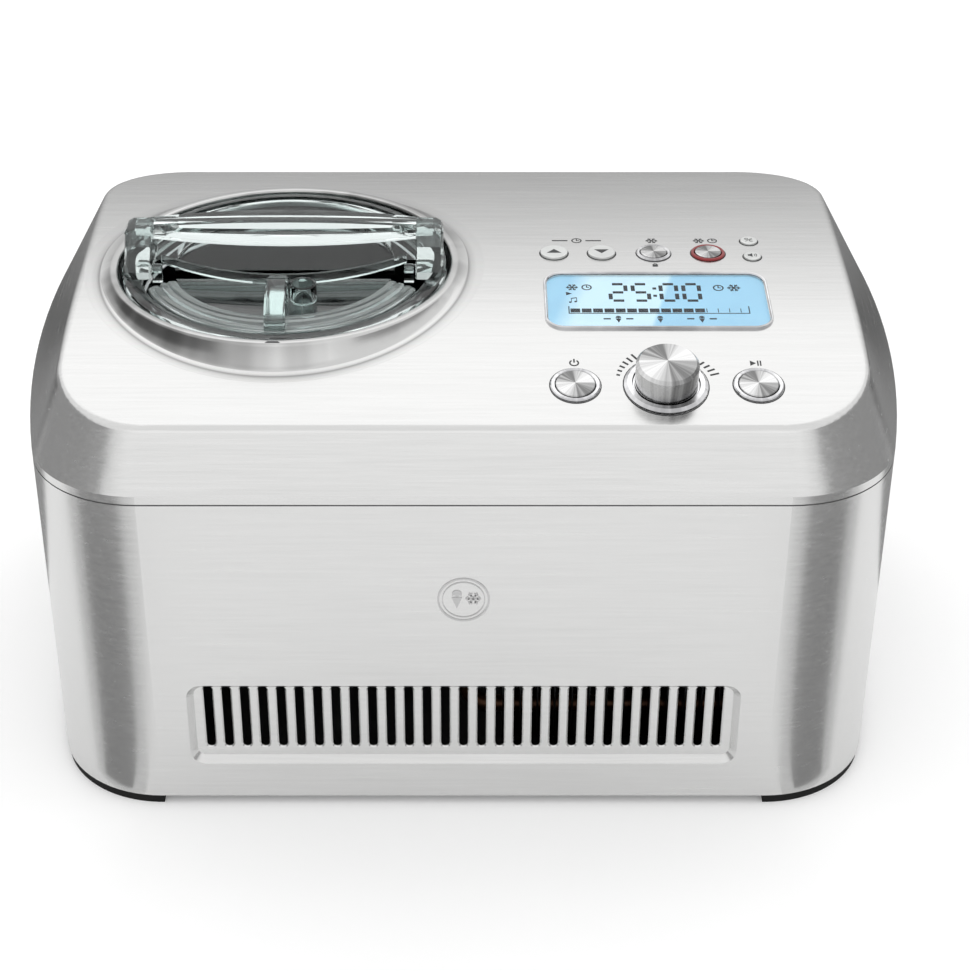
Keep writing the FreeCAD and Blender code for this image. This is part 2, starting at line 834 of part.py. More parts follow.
def place_local(thing, x, y, height):
    """Stand a thing on the plateau's normal at x, y, with its foot at height."""
    tilt = math.radians(crown_tilt(y))
    drop_y = sized(height) * math.sin(tilt)
    drop_z = sized(height) * math.cos(tilt)
    return place(thing, x, sized(y) - drop_y, crown_z(y) + drop_z, X_AXIS, crown_tilt(y))


def dial():
    """Hardness dial: a knob that turns over a fixed skirt."""
    skirt_bore = sized(6.6)
    rim = D.dial_skirt_radius
    skirt = turned("skirt", [(skirt_bore, -3), (10.9, -3), (10.9, 0), (rim, 0), (rim, 0.6),
                             (rim - 1.4, 1.7), (rim - 3.4, 1.7), (rim - 3.8, 0.9), (skirt_bore, 0.9)])
    node(on_plateau(skirt, D.dial_x, D.lower_row_y), "dial_skirt")
    radius = D.dial_radius
    top = D.dial_height
    knob = turned("knob", [(0, -5), (3, -5), (3, 0), (6.2, 0), (6.2, 1.5), (radius, 1.5),
                           (radius, top - 1.3), (radius - 1.3, top), (0, top)])
    node(on_plateau(knob, D.dial_x, D.lower_row_y), "dial_knob")
    body = turned("encoder", [(3.3, -10.6), (6.5, -10.6), (6.5, -4), (3.3, -4)])
    node(on_plateau(body, D.dial_x, D.lower_row_y), "dial_encoder")


def display():
    half_x = D.window_length / 2
    half_y = D.window_width / 2
    corner = D.window_corner

    def frame(inset):
        def draw(sketch):
            draw_rounded_box(sketch, inset - half_x, half_x - inset,
                             inset - half_y, half_y - inset, corner - inset)
        return draw

    def ring(outer, inner):
        def draw(sketch):
            frame(outer)(sketch)
            frame(inner)(sketch)
        return draw

    bezel = joined_solids([plate("bezel_rim", ring(0.0, 2.2), 0.0, 0.9),
                           plate("bezel_neck", ring(1.8, 2.6), -4.0, 0.5)])
    node(on_plateau(bezel, D.window_x, D.window_y), "display_bezel")
    window = joined_solids([plate("pane", frame(2.3), 0.5, 0.8),
                            plate("pane_core", frame(2.7), -1.2, 0.6)])
    node(on_plateau(window, D.window_x, D.window_y), "display_window")
    module = plate("module", frame(4.0), -8.0, -1.3)
    node(on_plateau(module, D.window_x, D.window_y), "display_module")


def control_board():
    board = block(-58, 60, -72, 68, -D.board_depth - 1.6, -D.board_depth)
    tilt = math.radians(crown_tilt(D.window_y))
    bottom = D.board_depth + 1.6
    x = D.window_x - 58
    y = D.window_y - 72 * math.cos(tilt) + bottom * math.sin(tilt)
    z = crown_z(D.window_y) - 72 * math.sin(tilt) - bottom * math.cos(tilt)
    return node(place(board, x, y, z, X_AXIS, crown_tilt(D.window_y)), "control_board")


# ---------------------------------------------------------------- chamber and bowl

CHAMBER_BORE = D.bowl_radius + D.chamber_gap
CHAMBER_WALL = CHAMBER_BORE + 1.2
COIL_RADIUS = CHAMBER_WALL + 0.2 + D.tube_radius
RISER_STEP = 0.8
FOAM_BORE = COIL_RADIUS + D.tube_radius + 0.4
FOAM_OUTER = FOAM_BORE + 14


def on_bowl_axis(name, profile):
    return turned(name, profile, D.bowl_x, D.bowl_y)


def chamber():
    floor = D.chamber_floor
    flange = D.collar_bottom - 1.2
    liner = on_bowl_axis("liner", [
        (9.0, floor), (CHAMBER_WALL, floor), (CHAMBER_WALL, flange - 1.4),
        (FOAM_BORE, flange - 1.4), (FOAM_BORE, flange), (CHAMBER_BORE, flange),
        (CHAMBER_BORE, floor + 1.2), (9.0, floor + 1.2)])
    node(liner, "cooling_chamber")
    seal = on_bowl_axis("seal", [(77, flange), (83, flange), (83, D.collar_bottom),
                                 (77, D.collar_bottom)])
    node(seal, "collar_seal")
    bottom = floor - 12
    foam = on_bowl_axis("foam", [
        (15, bottom), (FOAM_OUTER, bottom), (FOAM_OUTER, flange - 2),
        (FOAM_BORE, flange - 2), (FOAM_BORE, floor - 0.5), (15, floor - 0.5)])
    node(foam, "foam_jacket")


def evaporator_coil():
    """Stacked rings of tube, each joined to the next by a riser on alternate sides."""
    count = int(D.coil_rings.value)
    riser_radius = D.tube_radius - RISER_STEP
    pieces = []
    for index in range(count):
        level = D.coil_bottom + D.coil_pitch * index
        ring = doc.addObject("Part::Torus", "ring")
        bind(ring, "Radius1", COIL_RADIUS)
        bind(ring, "Radius2", D.tube_radius)
        pieces.append(place(ring, D.bowl_x, D.bowl_y, level))
        if index < count - 1:
            side = 1 if index % 2 == 0 else -1
            pieces.append(cylinder(riser_radius, level, level + D.coil_pitch,
                                   D.bowl_x + COIL_RADIUS * side, D.bowl_y))
    return node(joined_solids(pieces), "evaporator_coil")


def bowl_collar():
    """Level ring that rises from the plateau round the bowl."""
    foot, rim, bore, top = D.collar_foot, D.collar_rim, D.collar_bore, D.collar_top
    ring = on_bowl_axis("collar", [
        (bore, D.collar_bottom), (foot, D.collar_bottom), (foot, top - 5),
        (foot - 1.2, top - 2.6), (rim, top), (bore + 0.6, top), (bore, top - 0.6)])
    round_edges(ring, 1.5, circle_at(top.value - 2.6))
    return node(ring, "bowl_collar")


def bowl():
    """Lift-out bowl with a centre tube over the drive shaft."""
    outer = D.bowl_radius
    inner = outer - D.bowl_wall
    floor, top = D.bowl_floor, D.bowl_top
    tube_bore, tube_outer, tube_top = 9.0, 10.5, 124.0
    bucket = on_bowl_axis("bucket", [
        (tube_bore, floor), (outer - 4, floor), (outer, floor + 4), (outer, top),
        (inner, top), (inner, floor + 4.6), (inner - 3.4, floor + 1.2),
        (tube_outer, floor + 1.2), (tube_outer, tube_top), (tube_bore, tube_top)])
    lugs = []
    holes = []
    for side in (-1, 1):
        low = D.bowl_x + side * (inner.value - 2.8)
        high = D.bowl_x + side * (inner.value + 0.4)
        x0, x1 = sorted((low, high), key=lambda size: size.value)
        lugs.append(block(x0, x1, D.bowl_y - 4, D.bowl_y + 4, PIVOT_Z - 5, PIVOT_Z + 4))
        start = D.bowl_x + (side * (inner.value - 5) if side > 0 else -inner)
        holes.append(cylinder_along("x", 1.66, start, 5, y=D.bowl_y, z=PIVOT_Z))
    return node(cut(joined_solids([bucket] + lugs), holes), "bowl")


PIVOT_Z = 196.0


def bowl_handle():
    """Wire bail folded down along the back of the bowl's mouth."""
    reach = 66.5
    pin_end = 71.5
    big_bend = reach - 2.5
    spots = [(-pin_end, 0, 0), (-reach, 0, 0), (-reach, reach, 0), (reach, reach, 0),
             (reach, 0, 0), (pin_end, 0, 0)]
    bail = pipe(spots, sized(1.6), [2.4, big_bend, big_bend, 2.4])
    return node(place(bail, D.bowl_x, D.bowl_y, PIVOT_Z), "bowl_handle")


def hexagon(across_flats):
    corner = across_flats / math.sqrt(3)
    turns = [math.radians(60 * step) for step in range(6)]
    return [(corner * math.cos(turn), corner * math.sin(turn)) for turn in turns]


def paddle():
    """Dasher: hub over the centre tube and two scraping arms."""
    hub = turned("hub", [(0, 128), (12, 128), (12, 94), (17, 94), (16, 132), (9, 140),
                         (7, 190), (5, 196), (0, 196)])
    socket = plate("socket", lambda s: draw_polygon(s, hexagon(9.8)), 120, 142)
    pieces = [cut(hub, [socket])]
    for side in (0, 180):
        arm = joined_solids([block(14, 66, -3, 3, 95, 101), block(60, 66, -4, 4, 95, 184),
                             block(5, 64, -2.5, 2.5, 172, 178),
                             block(36, 42, -2.5, 2.5, 99, 174)])
        pieces.append(place(arm, angle=side))
    dasher = joined_solids(pieces)
    return node(place(dasher, D.bowl_x, D.bowl_y), "paddle")


# ---------------------------------------------------------------- lid

def lid():
    """Clear lid: outer ring, fixed rear half and the raised grip bar."""
    outer, opening, top = D.lid_radius, D.lid_opening, D.lid_top
    ring = turned("lid_ring", [(opening, D.lid_bottom), (outer - 2.5, D.lid_bottom),
                               (outer - 2.5, top - 4), (outer, top - 4), (outer, top - 0.8),
                               (outer - 0.8, top), (opening + 2, top), (opening, top - 1.5)])
    disc = cylinder(opening + 1, top - 4.2, top - 1.4)
    rear = block(-80, 80, -6, 80, top - 10, top + 5)
    grip = new_body("grip")
    sketch = new_sketch(grip, "XZ_Plane", -D.grip_back)
    half = D.grip_half_length
    shoulder = D.grip_top - 7
    under = D.grip_top - D.grip_thickness
    draw_polygon(sketch, [
        (-half + 1, top - 1.4), (-half + 12, top - 1.4), (-half + 13, under - 2), (0, under),
        (half - 13, under - 2), (half - 12, top - 1.4), (half - 1, top - 1.4), (half, top + 4),
        (half - 3, shoulder), (half - 30, D.grip_top - 1.6), (0, D.grip_top),
        (30 - half, D.grip_top - 1.6), (3 - half, shoulder), (-half, top + 4)])
    pad(grip, sketch, D.grip_depth)
    pieces = [ring, overlap_of(disc, rear), grip]
    knuckles = []
    for side in (-1, 1):
        start = 60.0 if side > 0 else -70.0
        lug = joined_solids([cylinder_along("x", 4.2, start, 10, y=HINGE_SIDE, z=D.hinge_z),
                             block(start, start + 10, HINGE_SIDE, -3, D.hinge_z - 4.2,
                                   D.hinge_z + 4.2)])
        knuckles.append(cut(lug, [cylinder_along("x", 1.76, start - 1, 12,
                                                 y=HINGE_SIDE, z=D.hinge_z)]))
    whole = joined_solids(pieces + knuckles)
    return node(place(whole, D.bowl_x, D.bowl_y), "lid")


HINGE_SIDE = D.hinge_y - D.bowl_y


def lid_flap():
    """Front half of the lid: hinged hatch with a finger fin."""
    opening, top = D.lid_opening, D.lid_top
    disc = cylinder(opening - D.flap_gap, top - 4.2, top - 2.2)
    front = block(-80, 80, -80, HINGE_SIDE + 1.5, top - 8, top + 3)
    rib_ring = turned("rib", [(46, top - 3.2), (50, top - 3.2), (50, top + 0.6), (46, top + 0.6)])
    rib = overlap_of(rib_ring, block(-60, 60, -70, HINGE_SIDE - 6, top - 5, top + 3))
    fin = block(-4, 4, -63.5, -31, top - 3.2, top + 11)
    cup = cylinder(6.2, top - 3.2, top + 6, 9.4, -34)
    barrel = cylinder_along("x", 4.0, sized(-59.5), 119, y=HINGE_SIDE, z=D.hinge_z)
    web = block(-59.5, 59.5, HINGE_SIDE - 4, HINGE_SIDE + 1.5, top - 3.8, D.hinge_z)
    pin = cylinder_along("x", 1.7, sized(-69.5), 139, y=HINGE_SIDE, z=D.hinge_z)
    whole = joined_solids([overlap_of(disc, front), rib, fin, cup, barrel, web, pin])
    return node(place(whole, D.bowl_x, D.bowl_y), "lid_flap")


# ---------------------------------------------------------------- drive

PRESSURE_ANGLE = math.radians(25)
OUTPUT_TEETH = 48
IDLER_TEETH = 36
PINION_TEETH = 12


def pitch_radius(teeth):
    return D.gear_module * teeth / 2


def gear(name, teeth, x, y, phase, bore):
    """An involute spur gear with one tooth centred on the phase angle."""
    module = D.gear_module.value
    pitch = module * teeth / 2
    base = pitch * math.cos(PRESSURE_ANGLE)
    tip = pitch + 0.85 * module
    valley = pitch - 1.2 * module
    slack = 0.12
    half_tooth = math.pi / (2 * teeth) - slack / pitch
    flank_roll = math.tan(PRESSURE_ANGLE) - PRESSURE_ANGLE

    def flank(side, turn):
        start = max(base, valley)
        spots = []
        for step in range(5):
            radius = start + (tip - start) * step / 4
            roll = math.acos(base / radius)
            angle = turn + side * (half_tooth + flank_roll - (math.tan(roll) - roll))
            spots.append(FreeCAD.Vector(radius * math.cos(angle), radius * math.sin(angle), 0))
        return spots

    corners = []
    for tooth in range(teeth):
        turn = math.radians(phase) + 2 * math.pi * tooth / teeth
        rising = flank(-1, turn)
        falling = flank(1, turn)
        for spots in (rising, falling):
            foot = spots[0]
            angle = math.atan2(foot.y, foot.x)
            low = FreeCAD.Vector(valley * math.cos(angle), valley * math.sin(angle), 0)
            spots.insert(0, low)
        corners += rising + falling[::-1]
    outline = Part.makePolygon(corners + corners[:1])
    wheel = Part.Face(outline).extrude(FreeCAD.Vector(0, 0, (D.gear_top - D.gear_bottom).value))
    hole = Part.makeCylinder(bore, 60, FreeCAD.Vector(0, 0, -20))
    feature = doc.addObject("Part::Feature", name)
    feature.Shape = wheel.cut(hole)
    return place(feature, x, y, D.gear_bottom)


def along_train(distance):
    angle = math.radians(D.train_angle.value)
    return D.bowl_x + distance * math.cos(angle), D.bowl_y + distance * math.sin(angle)


def drive_train():
    angle = D.train_angle.value
    idler_x, idler_y = along_train(pitch_radius(OUTPUT_TEETH + IDLER_TEETH))
    pinion_x, pinion_y = along_train(pitch_radius(OUTPUT_TEETH + 2 * IDLER_TEETH + PINION_TEETH))
    node(gear("output", OUTPUT_TEETH, D.bowl_x, D.bowl_y, angle, 5.0), "output_gear")
    half_pitch = 180 / IDLER_TEETH
    node(gear("idler", IDLER_TEETH, idler_x, idler_y, angle + 180 + half_pitch, 4.05), "idler_gear")
    pinion = gear("pinion", PINION_TEETH, pinion_x, pinion_y, angle + 180, 2.9)
    motor_shaft = cylinder(3.0, 50.2, 65.0, pinion_x, pinion_y)
    node(joined_solids([pinion, motor_shaft]), "motor_pinion")
    rod = on_bowl_axis("shaft", [(0, 52.4), (5, 52.4), (5, 120), (0, 120)])
    tip = plate("shaft_tip", lambda s: draw_polygon(s, hexagon(8.6)), 119, 138)
    place(tip, D.bowl_x, D.bowl_y)
    node(joined_solids([rod, tip]), "drive_shaft")
    idler_pin = cylinder(4.0, 52.0, 67.0, idler_x, idler_y)
    centres = [(D.bowl_x, D.bowl_y, 39.5), (idler_x, idler_y, 30.5), (pinion_x, pinion_y, 13.5)]
    outer = joined_solids([cylinder(r + 2.5, 50, 69, x, y) for x, y, r in centres])
    cavity = joined_solids([cylinder(r, 52, 67, x, y) for x, y, r in centres])
    holes = [cylinder(8.2, 60, 72, D.bowl_x, D.bowl_y), cylinder(3.4, 48, 53, pinion_x, pinion_y)]
    legs = []
    for turn in (140, 220, 300):
        reach = 34.0
        x = D.bowl_x + reach * math.cos(math.radians(turn))
        y = D.bowl_y + reach * math.sin(math.radians(turn))
        legs.append(cylinder(5, D.foot_height + 3, 50.5, x, y))
    housing = joined_solids([cut(outer, [cavity] + holes), idler_pin] + legs)
    node(housing, "gearbox_housing")
    bush = on_bowl_axis("bush", [(5.05, 65), (8.0, 65), (8.0, 86.2), (5.05, 86.2)])
    node(bush, "shaft_bush")
    seal = on_bowl_axis("lip_seal", [(8.2, 85.2), (13, 85.2), (13, 88.0), (5.1, 88.0),
                                     (5.1, 86.4), (8.2, 86.4)])
    node(seal, "shaft_seal")
    can = turned("motor", [(3.3, 7.6), (30, 7.6), (30, 46), (12, 46), (12, 49.8), (3.3, 49.8)],
                 pinion_x, pinion_y)
    node(can, "drive_motor")


# ---------------------------------------------------------------- refrigeration

def compressor():
    r = D.pot_radius
    pot = turned("pot", [(0, 18), (r - 8, 18), (r - 2, 26), (r - 2, 66), (r, 67), (r, 70),
                         (r - 3, 71), (r - 5, 100), (r - 14, 117), (r - 30, 124), (0, 126)],
                 D.pot_x, D.pot_y)
    feet_spots = [(58, 90), (58, 210), (58, 330)]
    pads = []
    grommets = []
    bolts = []
    for reach, turn in feet_spots:
        x = D.pot_x + reach * math.cos(math.radians(turn))
        y = D.pot_y + reach * math.sin(math.radians(turn))
        bar = block(0, reach + 9, -9, 9, 18.2, 21.2)
        place(bar, D.pot_x - 9 * math.cos(math.radians(turn + 90)),
              D.pot_y - 9 * math.sin(math.radians(turn + 90)), 18.2, Z_AXIS, turn)
        pads.append(cut(bar, [cylinder(4.4, 10, 30, x, y)]))
        grommets.append(turned("grommet", [(3.1, 7.8), (8, 7.8), (8, 18.0), (4.2, 18.0),
                                           (4.2, 21.4), (7, 21.4), (7, 23.4), (3.1, 23.4)], x, y))
        bolts.append(turned("bolt", [(0, 7.8), (3, 7.8), (3, 23.6), (5.5, 23.6), (5.5, 27.6),
                                     (0, 27.6)], x, y))
    node(joined_solids([pot] + pads), "compressor")
    node(grouped(grommets), "compressor_grommets")
    node(grouped(bolts), "compressor_bolts")


def condenser():
    """Finned coil behind the front vent."""
    front, back = -106.0, -80.0
    low, high = 18.0, 102.0
    middle = (front + back) / 2
    levels = [28.0, 50.0, 72.0, 94.0]
    last_x = D.fin_first_x + D.fin_pitch * (D.fin_count - 1)
    holes = joined_solids([cylinder_along("x", D.tube_radius + 0.1, D.fin_first_x - 2,
                                          last_x - D.fin_first_x + 8, y=middle, z=z)
                           for z in levels])
    count = int(D.fin_count.value)
    fins = [block(D.fin_first_x + D.fin_pitch * i, D.fin_first_x + D.fin_pitch * i + 0.6,
                  front, back, low, high) for i in range(count)]
    plates = [block(D.fin_first_x, last_x + 0.6, front, back, z, z + 0.8) for z in (low, high)]
    node(cut(joined_solids(fins + plates), [holes]), "condenser_fins")
    left, right = D.fin_first_x.value - 4, last_x.value + 5
    points = [(right + 2, middle, levels[3])]
    for index, z in enumerate(reversed(levels)):
        turn_x = left - 12 if index % 2 == 0 else right + 12
        if index < 3:
            points += [(turn_x, middle, z), (turn_x, middle, z - 22)]
    points.append((right + 2, middle, levels[0]))
    node(pipe(points, D.tube_radius, 10.5), "condenser_tube")
    lines = [
        pipe([(D.pot_x + 18, 8.8, 94), (D.pot_x + 18, -30, 94), (144, -30, 94),
              (144, middle, 94), (right + 2.4, middle, 94)], sized(3.0), 6.0),
        pipe([(D.pot_x, D.pot_y, 126.4), (D.pot_x, D.pot_y, 150), (D.pot_x, -3, 150),
              (D.bowl_x + FOAM_OUTER + 0.4, -3, 150)], sized(3.5), 12.0),
        pipe([(right + 2.4, middle, 28), (right + 16, middle, 28), (right + 16, -16, 28),
              (30, -16, 14), (30, 62, 14), (30, 62, 23.8)], sized(2.0), 4.0),
    ]
    node(grouped(lines), "refrigerant_lines")
    drier = turned("drier", [(0, 24), (3, 24), (9, 30), (9, 84), (3, 90), (0, 90)], 30, 62)
    node(drier, "filter_drier")


def fan():
    radius = D.fan_radius
    hub = cylinder_along("y", 12, -66, 14, x=D.fan_x, z=D.fan_z)
    pieces = [hub]
    for index in range(7):
        turn = index * 360 / 7
        blade = doc.addObject("Part::Box", "blade")
        bind(blade, "Length", radius - 10)
        blade.Width = 1.6
        blade.Height = 17
        pitch = FreeCAD.Rotation(X_AXIS, 55)
        spin = FreeCAD.Rotation(Y_AXIS, turn)
        start = FreeCAD.Vector(D.fan_x.value, -59, D.fan_z.value)
        offset = spin.multVec(FreeCAD.Vector(10, 0, 0) + pitch.multVec(FreeCAD.Vector(0, -0.8, -8.5)))
        blade.Placement = FreeCAD.Placement(start + offset, spin.multiply(pitch))
        pieces.append(blade)
    bore = cylinder_along("y", 2.3, -63, 12, x=D.fan_x, z=D.fan_z)
    node(cut(joined_solids(pieces), [bore]), "fan_blades")
    motor = joined_solids([cylinder_along("y", 15, -50, 26, x=D.fan_x, z=D.fan_z),
                           cylinder_along("y", 2.2, -62, 14, x=D.fan_x, z=D.fan_z),
                           block(D.fan_x - 50, D.fan_x + 50, -46, -43, D.fan_z - 3, D.fan_z + 3),
                           block(D.fan_x - 50, D.fan_x - 47, -50.5, -43, D.fan_z - 3, D.fan_z + 3),
                           block(D.fan_x + 47, D.fan_x + 50, -50.5, -43, D.fan_z - 3,
                                 D.fan_z + 3)])
    node(motor, "fan_motor")
    frame = block(D.fan_x - 52, D.fan_x + 52, -70, -50.5, 8, 106)
    tunnel = cylinder_along("y", radius + 2.5, -72, 26, x=D.fan_x, z=D.fan_z)
    node(cut(frame, [tunnel]), "fan_shroud")


def power_board():
    low = D.foot_height + 3
    pieces = [block(-180, -112, 58, 112, low + 5, low + 6.6)]
    for x, y in ((-174, 64), (-118, 64), (-174, 106), (-118, 106)):
        pieces.append(cylinder(3, low, low + 5.5, x, y))
    pieces.append(block(-168, -138, 70, 100, low + 6.4, low + 34))
    pieces.append(cylinder(7, low + 6.4, low + 30, -124, 74))
    pieces.append(cylinder(7, low + 6.4, low + 30, -124, 94))
    return node(joined_solids(pieces), "power_board")


# ---------------------------------------------------------------- build and write

body_wrap()
top_cover()
cover_gasket()
base_pan()
feet()
back_panel()
cord_gland()
screws()
controls()
dial()
display()
control_board()
chamber()
evaporator_coil()
bowl_collar()
bowl()
bowl_handle()
paddle()
lid()
lid_flap()
drive_train()
compressor()
condenser()
fan()
power_board()
doc.recompute()

for thing in doc.Objects:
    if "Invalid" in thing.State or "Error" in thing.State:
        raise RuntimeError(f"{thing.Name} ({thing.Label}) failed: {thing.State}")
unusable = [thing.Label for thing in NODES if thing.Shape.isNull() or not thing.Shape.isValid()]
if unusable:
    raise RuntimeError(f"no valid shape: {unusable}")
for thing in NODES:
    thing.Shape.exportStep(f"parts/{thing.Label}.step")
print(len(NODES), "nodes written")
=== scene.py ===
import json
import math

import bmesh
import bpy
from mathutils import Matrix, Vector
from mathutils.geometry import tessellate_polygon


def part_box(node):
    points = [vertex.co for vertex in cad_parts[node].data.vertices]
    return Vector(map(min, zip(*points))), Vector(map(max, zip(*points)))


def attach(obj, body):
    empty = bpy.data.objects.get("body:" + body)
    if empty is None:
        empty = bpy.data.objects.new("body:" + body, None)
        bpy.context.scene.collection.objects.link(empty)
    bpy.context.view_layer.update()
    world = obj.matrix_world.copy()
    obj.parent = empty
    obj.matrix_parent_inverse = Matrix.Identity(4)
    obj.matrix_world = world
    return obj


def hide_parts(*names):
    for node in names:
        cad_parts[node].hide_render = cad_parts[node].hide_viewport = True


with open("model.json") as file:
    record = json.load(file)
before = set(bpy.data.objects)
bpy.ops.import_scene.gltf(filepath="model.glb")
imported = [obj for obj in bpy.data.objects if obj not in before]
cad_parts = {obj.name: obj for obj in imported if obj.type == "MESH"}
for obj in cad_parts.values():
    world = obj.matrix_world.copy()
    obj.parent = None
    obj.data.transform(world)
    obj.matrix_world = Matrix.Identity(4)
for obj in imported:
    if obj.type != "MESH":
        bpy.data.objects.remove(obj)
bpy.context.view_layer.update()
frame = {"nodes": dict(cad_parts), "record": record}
nodes = frame["nodes"]

MM = 0.001

# ---------------------------------------------------------------- places, from the frame


def middle(name):
    """Centre of a node's box."""
    low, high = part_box(name)
    return (Vector(low) + Vector(high)) / 2


def top_of(name):
    return Vector(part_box(name)[1]).z


BOWL = middle("bowl_collar")
COLLAR_TOP = top_of("bowl_collar")
LID_TOP = COLLAR_TOP - 0.9 * MM

# crowned plateau of the top cover: an arc about an axis along X
CREST_Y = 16.5 * MM
CREST_Z = top_of("top_cover")
CROWN_RADIUS = 543.8 * MM


def plateau(x, y, lift=0.0):
    """A point on the plateau, or above it by lift."""
    side = y - CREST_Y
    height = math.sqrt(CROWN_RADIUS ** 2 - side ** 2)
    normal = Vector((0, side, height)) / CROWN_RADIUS
    return Vector((x, y, CREST_Z - CROWN_RADIUS + height)) + normal * lift


def plateau_frame(x, y):
    """Matrix that stands a thing on the plateau's normal at x, y."""
    tilt = math.asin((CREST_Y - y) / CROWN_RADIUS)
    return Matrix.Translation(plateau(x, y)) @ Matrix.Rotation(tilt, 4, "X")


# ---------------------------------------------------------------- materials

# sockets of a Mix node, which share their names with those of its other kinds
VALUE_A, VALUE_B = 2, 3
COLOUR_A, COLOUR_B, COLOUR_OUT = 6, 7, 2
BOX_MIDDLE = (0.5, 0.5, 0.5)
# centre of the painted shade line on the collar's blend ring
SHADE_LINE_CENTRE = (0.5, 0.480, 0.5)  # the line lies further out in front than behind


class Shader:
    """A Principled material with short calls for its nodes."""

    def __init__(self, name, **sockets):
        self.material = bpy.data.materials.new(name)
        self.material.use_nodes = True
        self.tree = self.material.node_tree
        self.principled = self.tree.nodes["Principled BSDF"]
        for socket, value in sockets.items():
            self.principled.inputs[socket.replace("_", " ")].default_value = value

    def add(self, kind, **settings):
        made = self.tree.nodes.new(kind)
        for key, value in settings.items():
            if hasattr(made, key):
                setattr(made, key, value)
            else:
                made.inputs[key.replace("_", " ")].default_value = value
        return made

    def link(self, source, output, target, socket):
        self.tree.links.new(source.outputs[output], target.inputs[socket])

    def stretched_noise(self, scale, detail=3.0, roughness=0.6):
        """Noise with its own scale along each axis, in repeats a metre."""
        place = self.add("ShaderNodeTexCoord")
        mapping = self.add("ShaderNodeMapping")
        mapping.inputs["Scale"].default_value = scale
        noise = self.add("ShaderNodeTexNoise", Scale=1.0, Detail=detail, Roughness=roughness)
        self.link(place, "Object", mapping, "Vector")
        self.link(mapping, "Vector", noise, "Vector")
        return noise

    def from_axis(self, axis=BOX_MIDDLE):
        """Place in the piece's box counted from an upright axis, and the distance to it."""
        place = self.add("ShaderNodeTexCoord")
        shift = self.add("ShaderNodeVectorMath", operation="SUBTRACT")
        shift.inputs[1].default_value = axis
        flat = self.add("ShaderNodeVectorMath", operation="MULTIPLY")
        flat.inputs[1].default_value = (1, 1, 0)
        far = self.add("ShaderNodeVectorMath", operation="LENGTH")
        self.link(place, "Generated", shift, 0)
        self.link(shift, "Vector", flat, 0)
        self.link(flat, "Vector", far, 0)
        return shift, far

    def ramp_between(self, source, output, low, high, target, socket):
        """Map a 0 to 1 value to a range."""
        spread = self.add("ShaderNodeMapRange", To_Min=low, To_Max=high)
        spread.inputs["From Min"].default_value = 0.3
        spread.inputs["From Max"].default_value = 0.7
        self.link(source, output, spread, "Value")
        self.link(spread, "Result", target, socket)

    def tint(self, source, output, first, second, low=0.3, high=0.7):
        """Blend two base colours by a value."""
        ramp = self.add("ShaderNodeValToRGB")
        ramp.color_ramp.elements[0].position = low
        ramp.color_ramp.elements[1].position = high
        ramp.color_ramp.elements[0].color = (*first, 1)
        ramp.color_ramp.elements[1].color = (*second, 1)
        self.link(source, output, ramp, "Fac")
        self.link(ramp, "Color", self.principled, "Base Color")

    def bump(self, source, output, strength, distance):
        bump = self.add("ShaderNodeBump", Strength=strength, Distance=distance)
        self.link(source, output, bump, "Height")
        self.link(bump, "Normal", self.principled, "Normal")


def brushed_sheet(name, shade, rough):
    """Sheet steel with its grain lying level, along X in front and along Y at the sides."""
    shader = Shader(name, Metallic=1.0, Roughness=rough)
    across = shader.stretched_noise((14, 2600, 2600), detail=2.0)
    along = shader.stretched_noise((2600, 14, 2600), detail=2.0)
    geometry = shader.add("ShaderNodeNewGeometry")
    split = shader.add("ShaderNodeSeparateXYZ")
    size = shader.add("ShaderNodeMath", operation="ABSOLUTE")
    side = shader.add("ShaderNodeMapRange")
    side.inputs["From Min"].default_value = 0.62
    side.inputs["From Max"].default_value = 0.78
    shader.link(geometry, "Normal", split, "Vector")
    shader.link(split, "X", size, 0)
    shader.link(size, "Value", side, "Value")
    streaks_across = shader.stretched_noise((16, 620, 620), detail=5.0, roughness=0.72)
    streaks_along = shader.stretched_noise((620, 16, 620), detail=5.0, roughness=0.72)
    grain = shader.add("ShaderNodeMix", data_type="FLOAT")
    streaks = shader.add("ShaderNodeMix", data_type="FLOAT")
    for mix, front, flank in ((grain, across, along), (streaks, streaks_across, streaks_along)):
        shader.link(side, "Result", mix, "Factor")
        shader.link(front, "Fac", mix, VALUE_A)
        shader.link(flank, "Fac", mix, VALUE_B)
    shader.ramp_between(streaks, 0, rough - 0.03, rough + 0.04, shader.principled, "Roughness")
    shader.tint(streaks, 0, tuple(0.935 * c for c in shade), tuple(1.02 * c for c in shade))
    shader.bump(grain, 0, 0.08, 0.00006)
    return shader.material


def turned_metal(name, shade, rough, spin, rings=90.0):
    """Spun metal: rings about the piece's own centre and a fan-shaped sheen."""
    shader = Shader(name, Metallic=1.0, Roughness=rough, Anisotropic=spin)
    tangent = shader.add("ShaderNodeTangent", direction_type="RADIAL", axis="Z")
    shader.link(tangent, "Tangent", shader.principled, "Tangent")
    noise = shader.add("ShaderNodeTexNoise", noise_dimensions="1D", Scale=rings, Detail=2.0)
    shader.link(shader.from_axis()[1], "Value", noise, "W")
    shader.tint(noise, "Fac", tuple(0.86 * c for c in shade), shade, 0.35, 0.65)
    shader.bump(noise, "Fac", 0.12, 0.00005)
    return shader.material


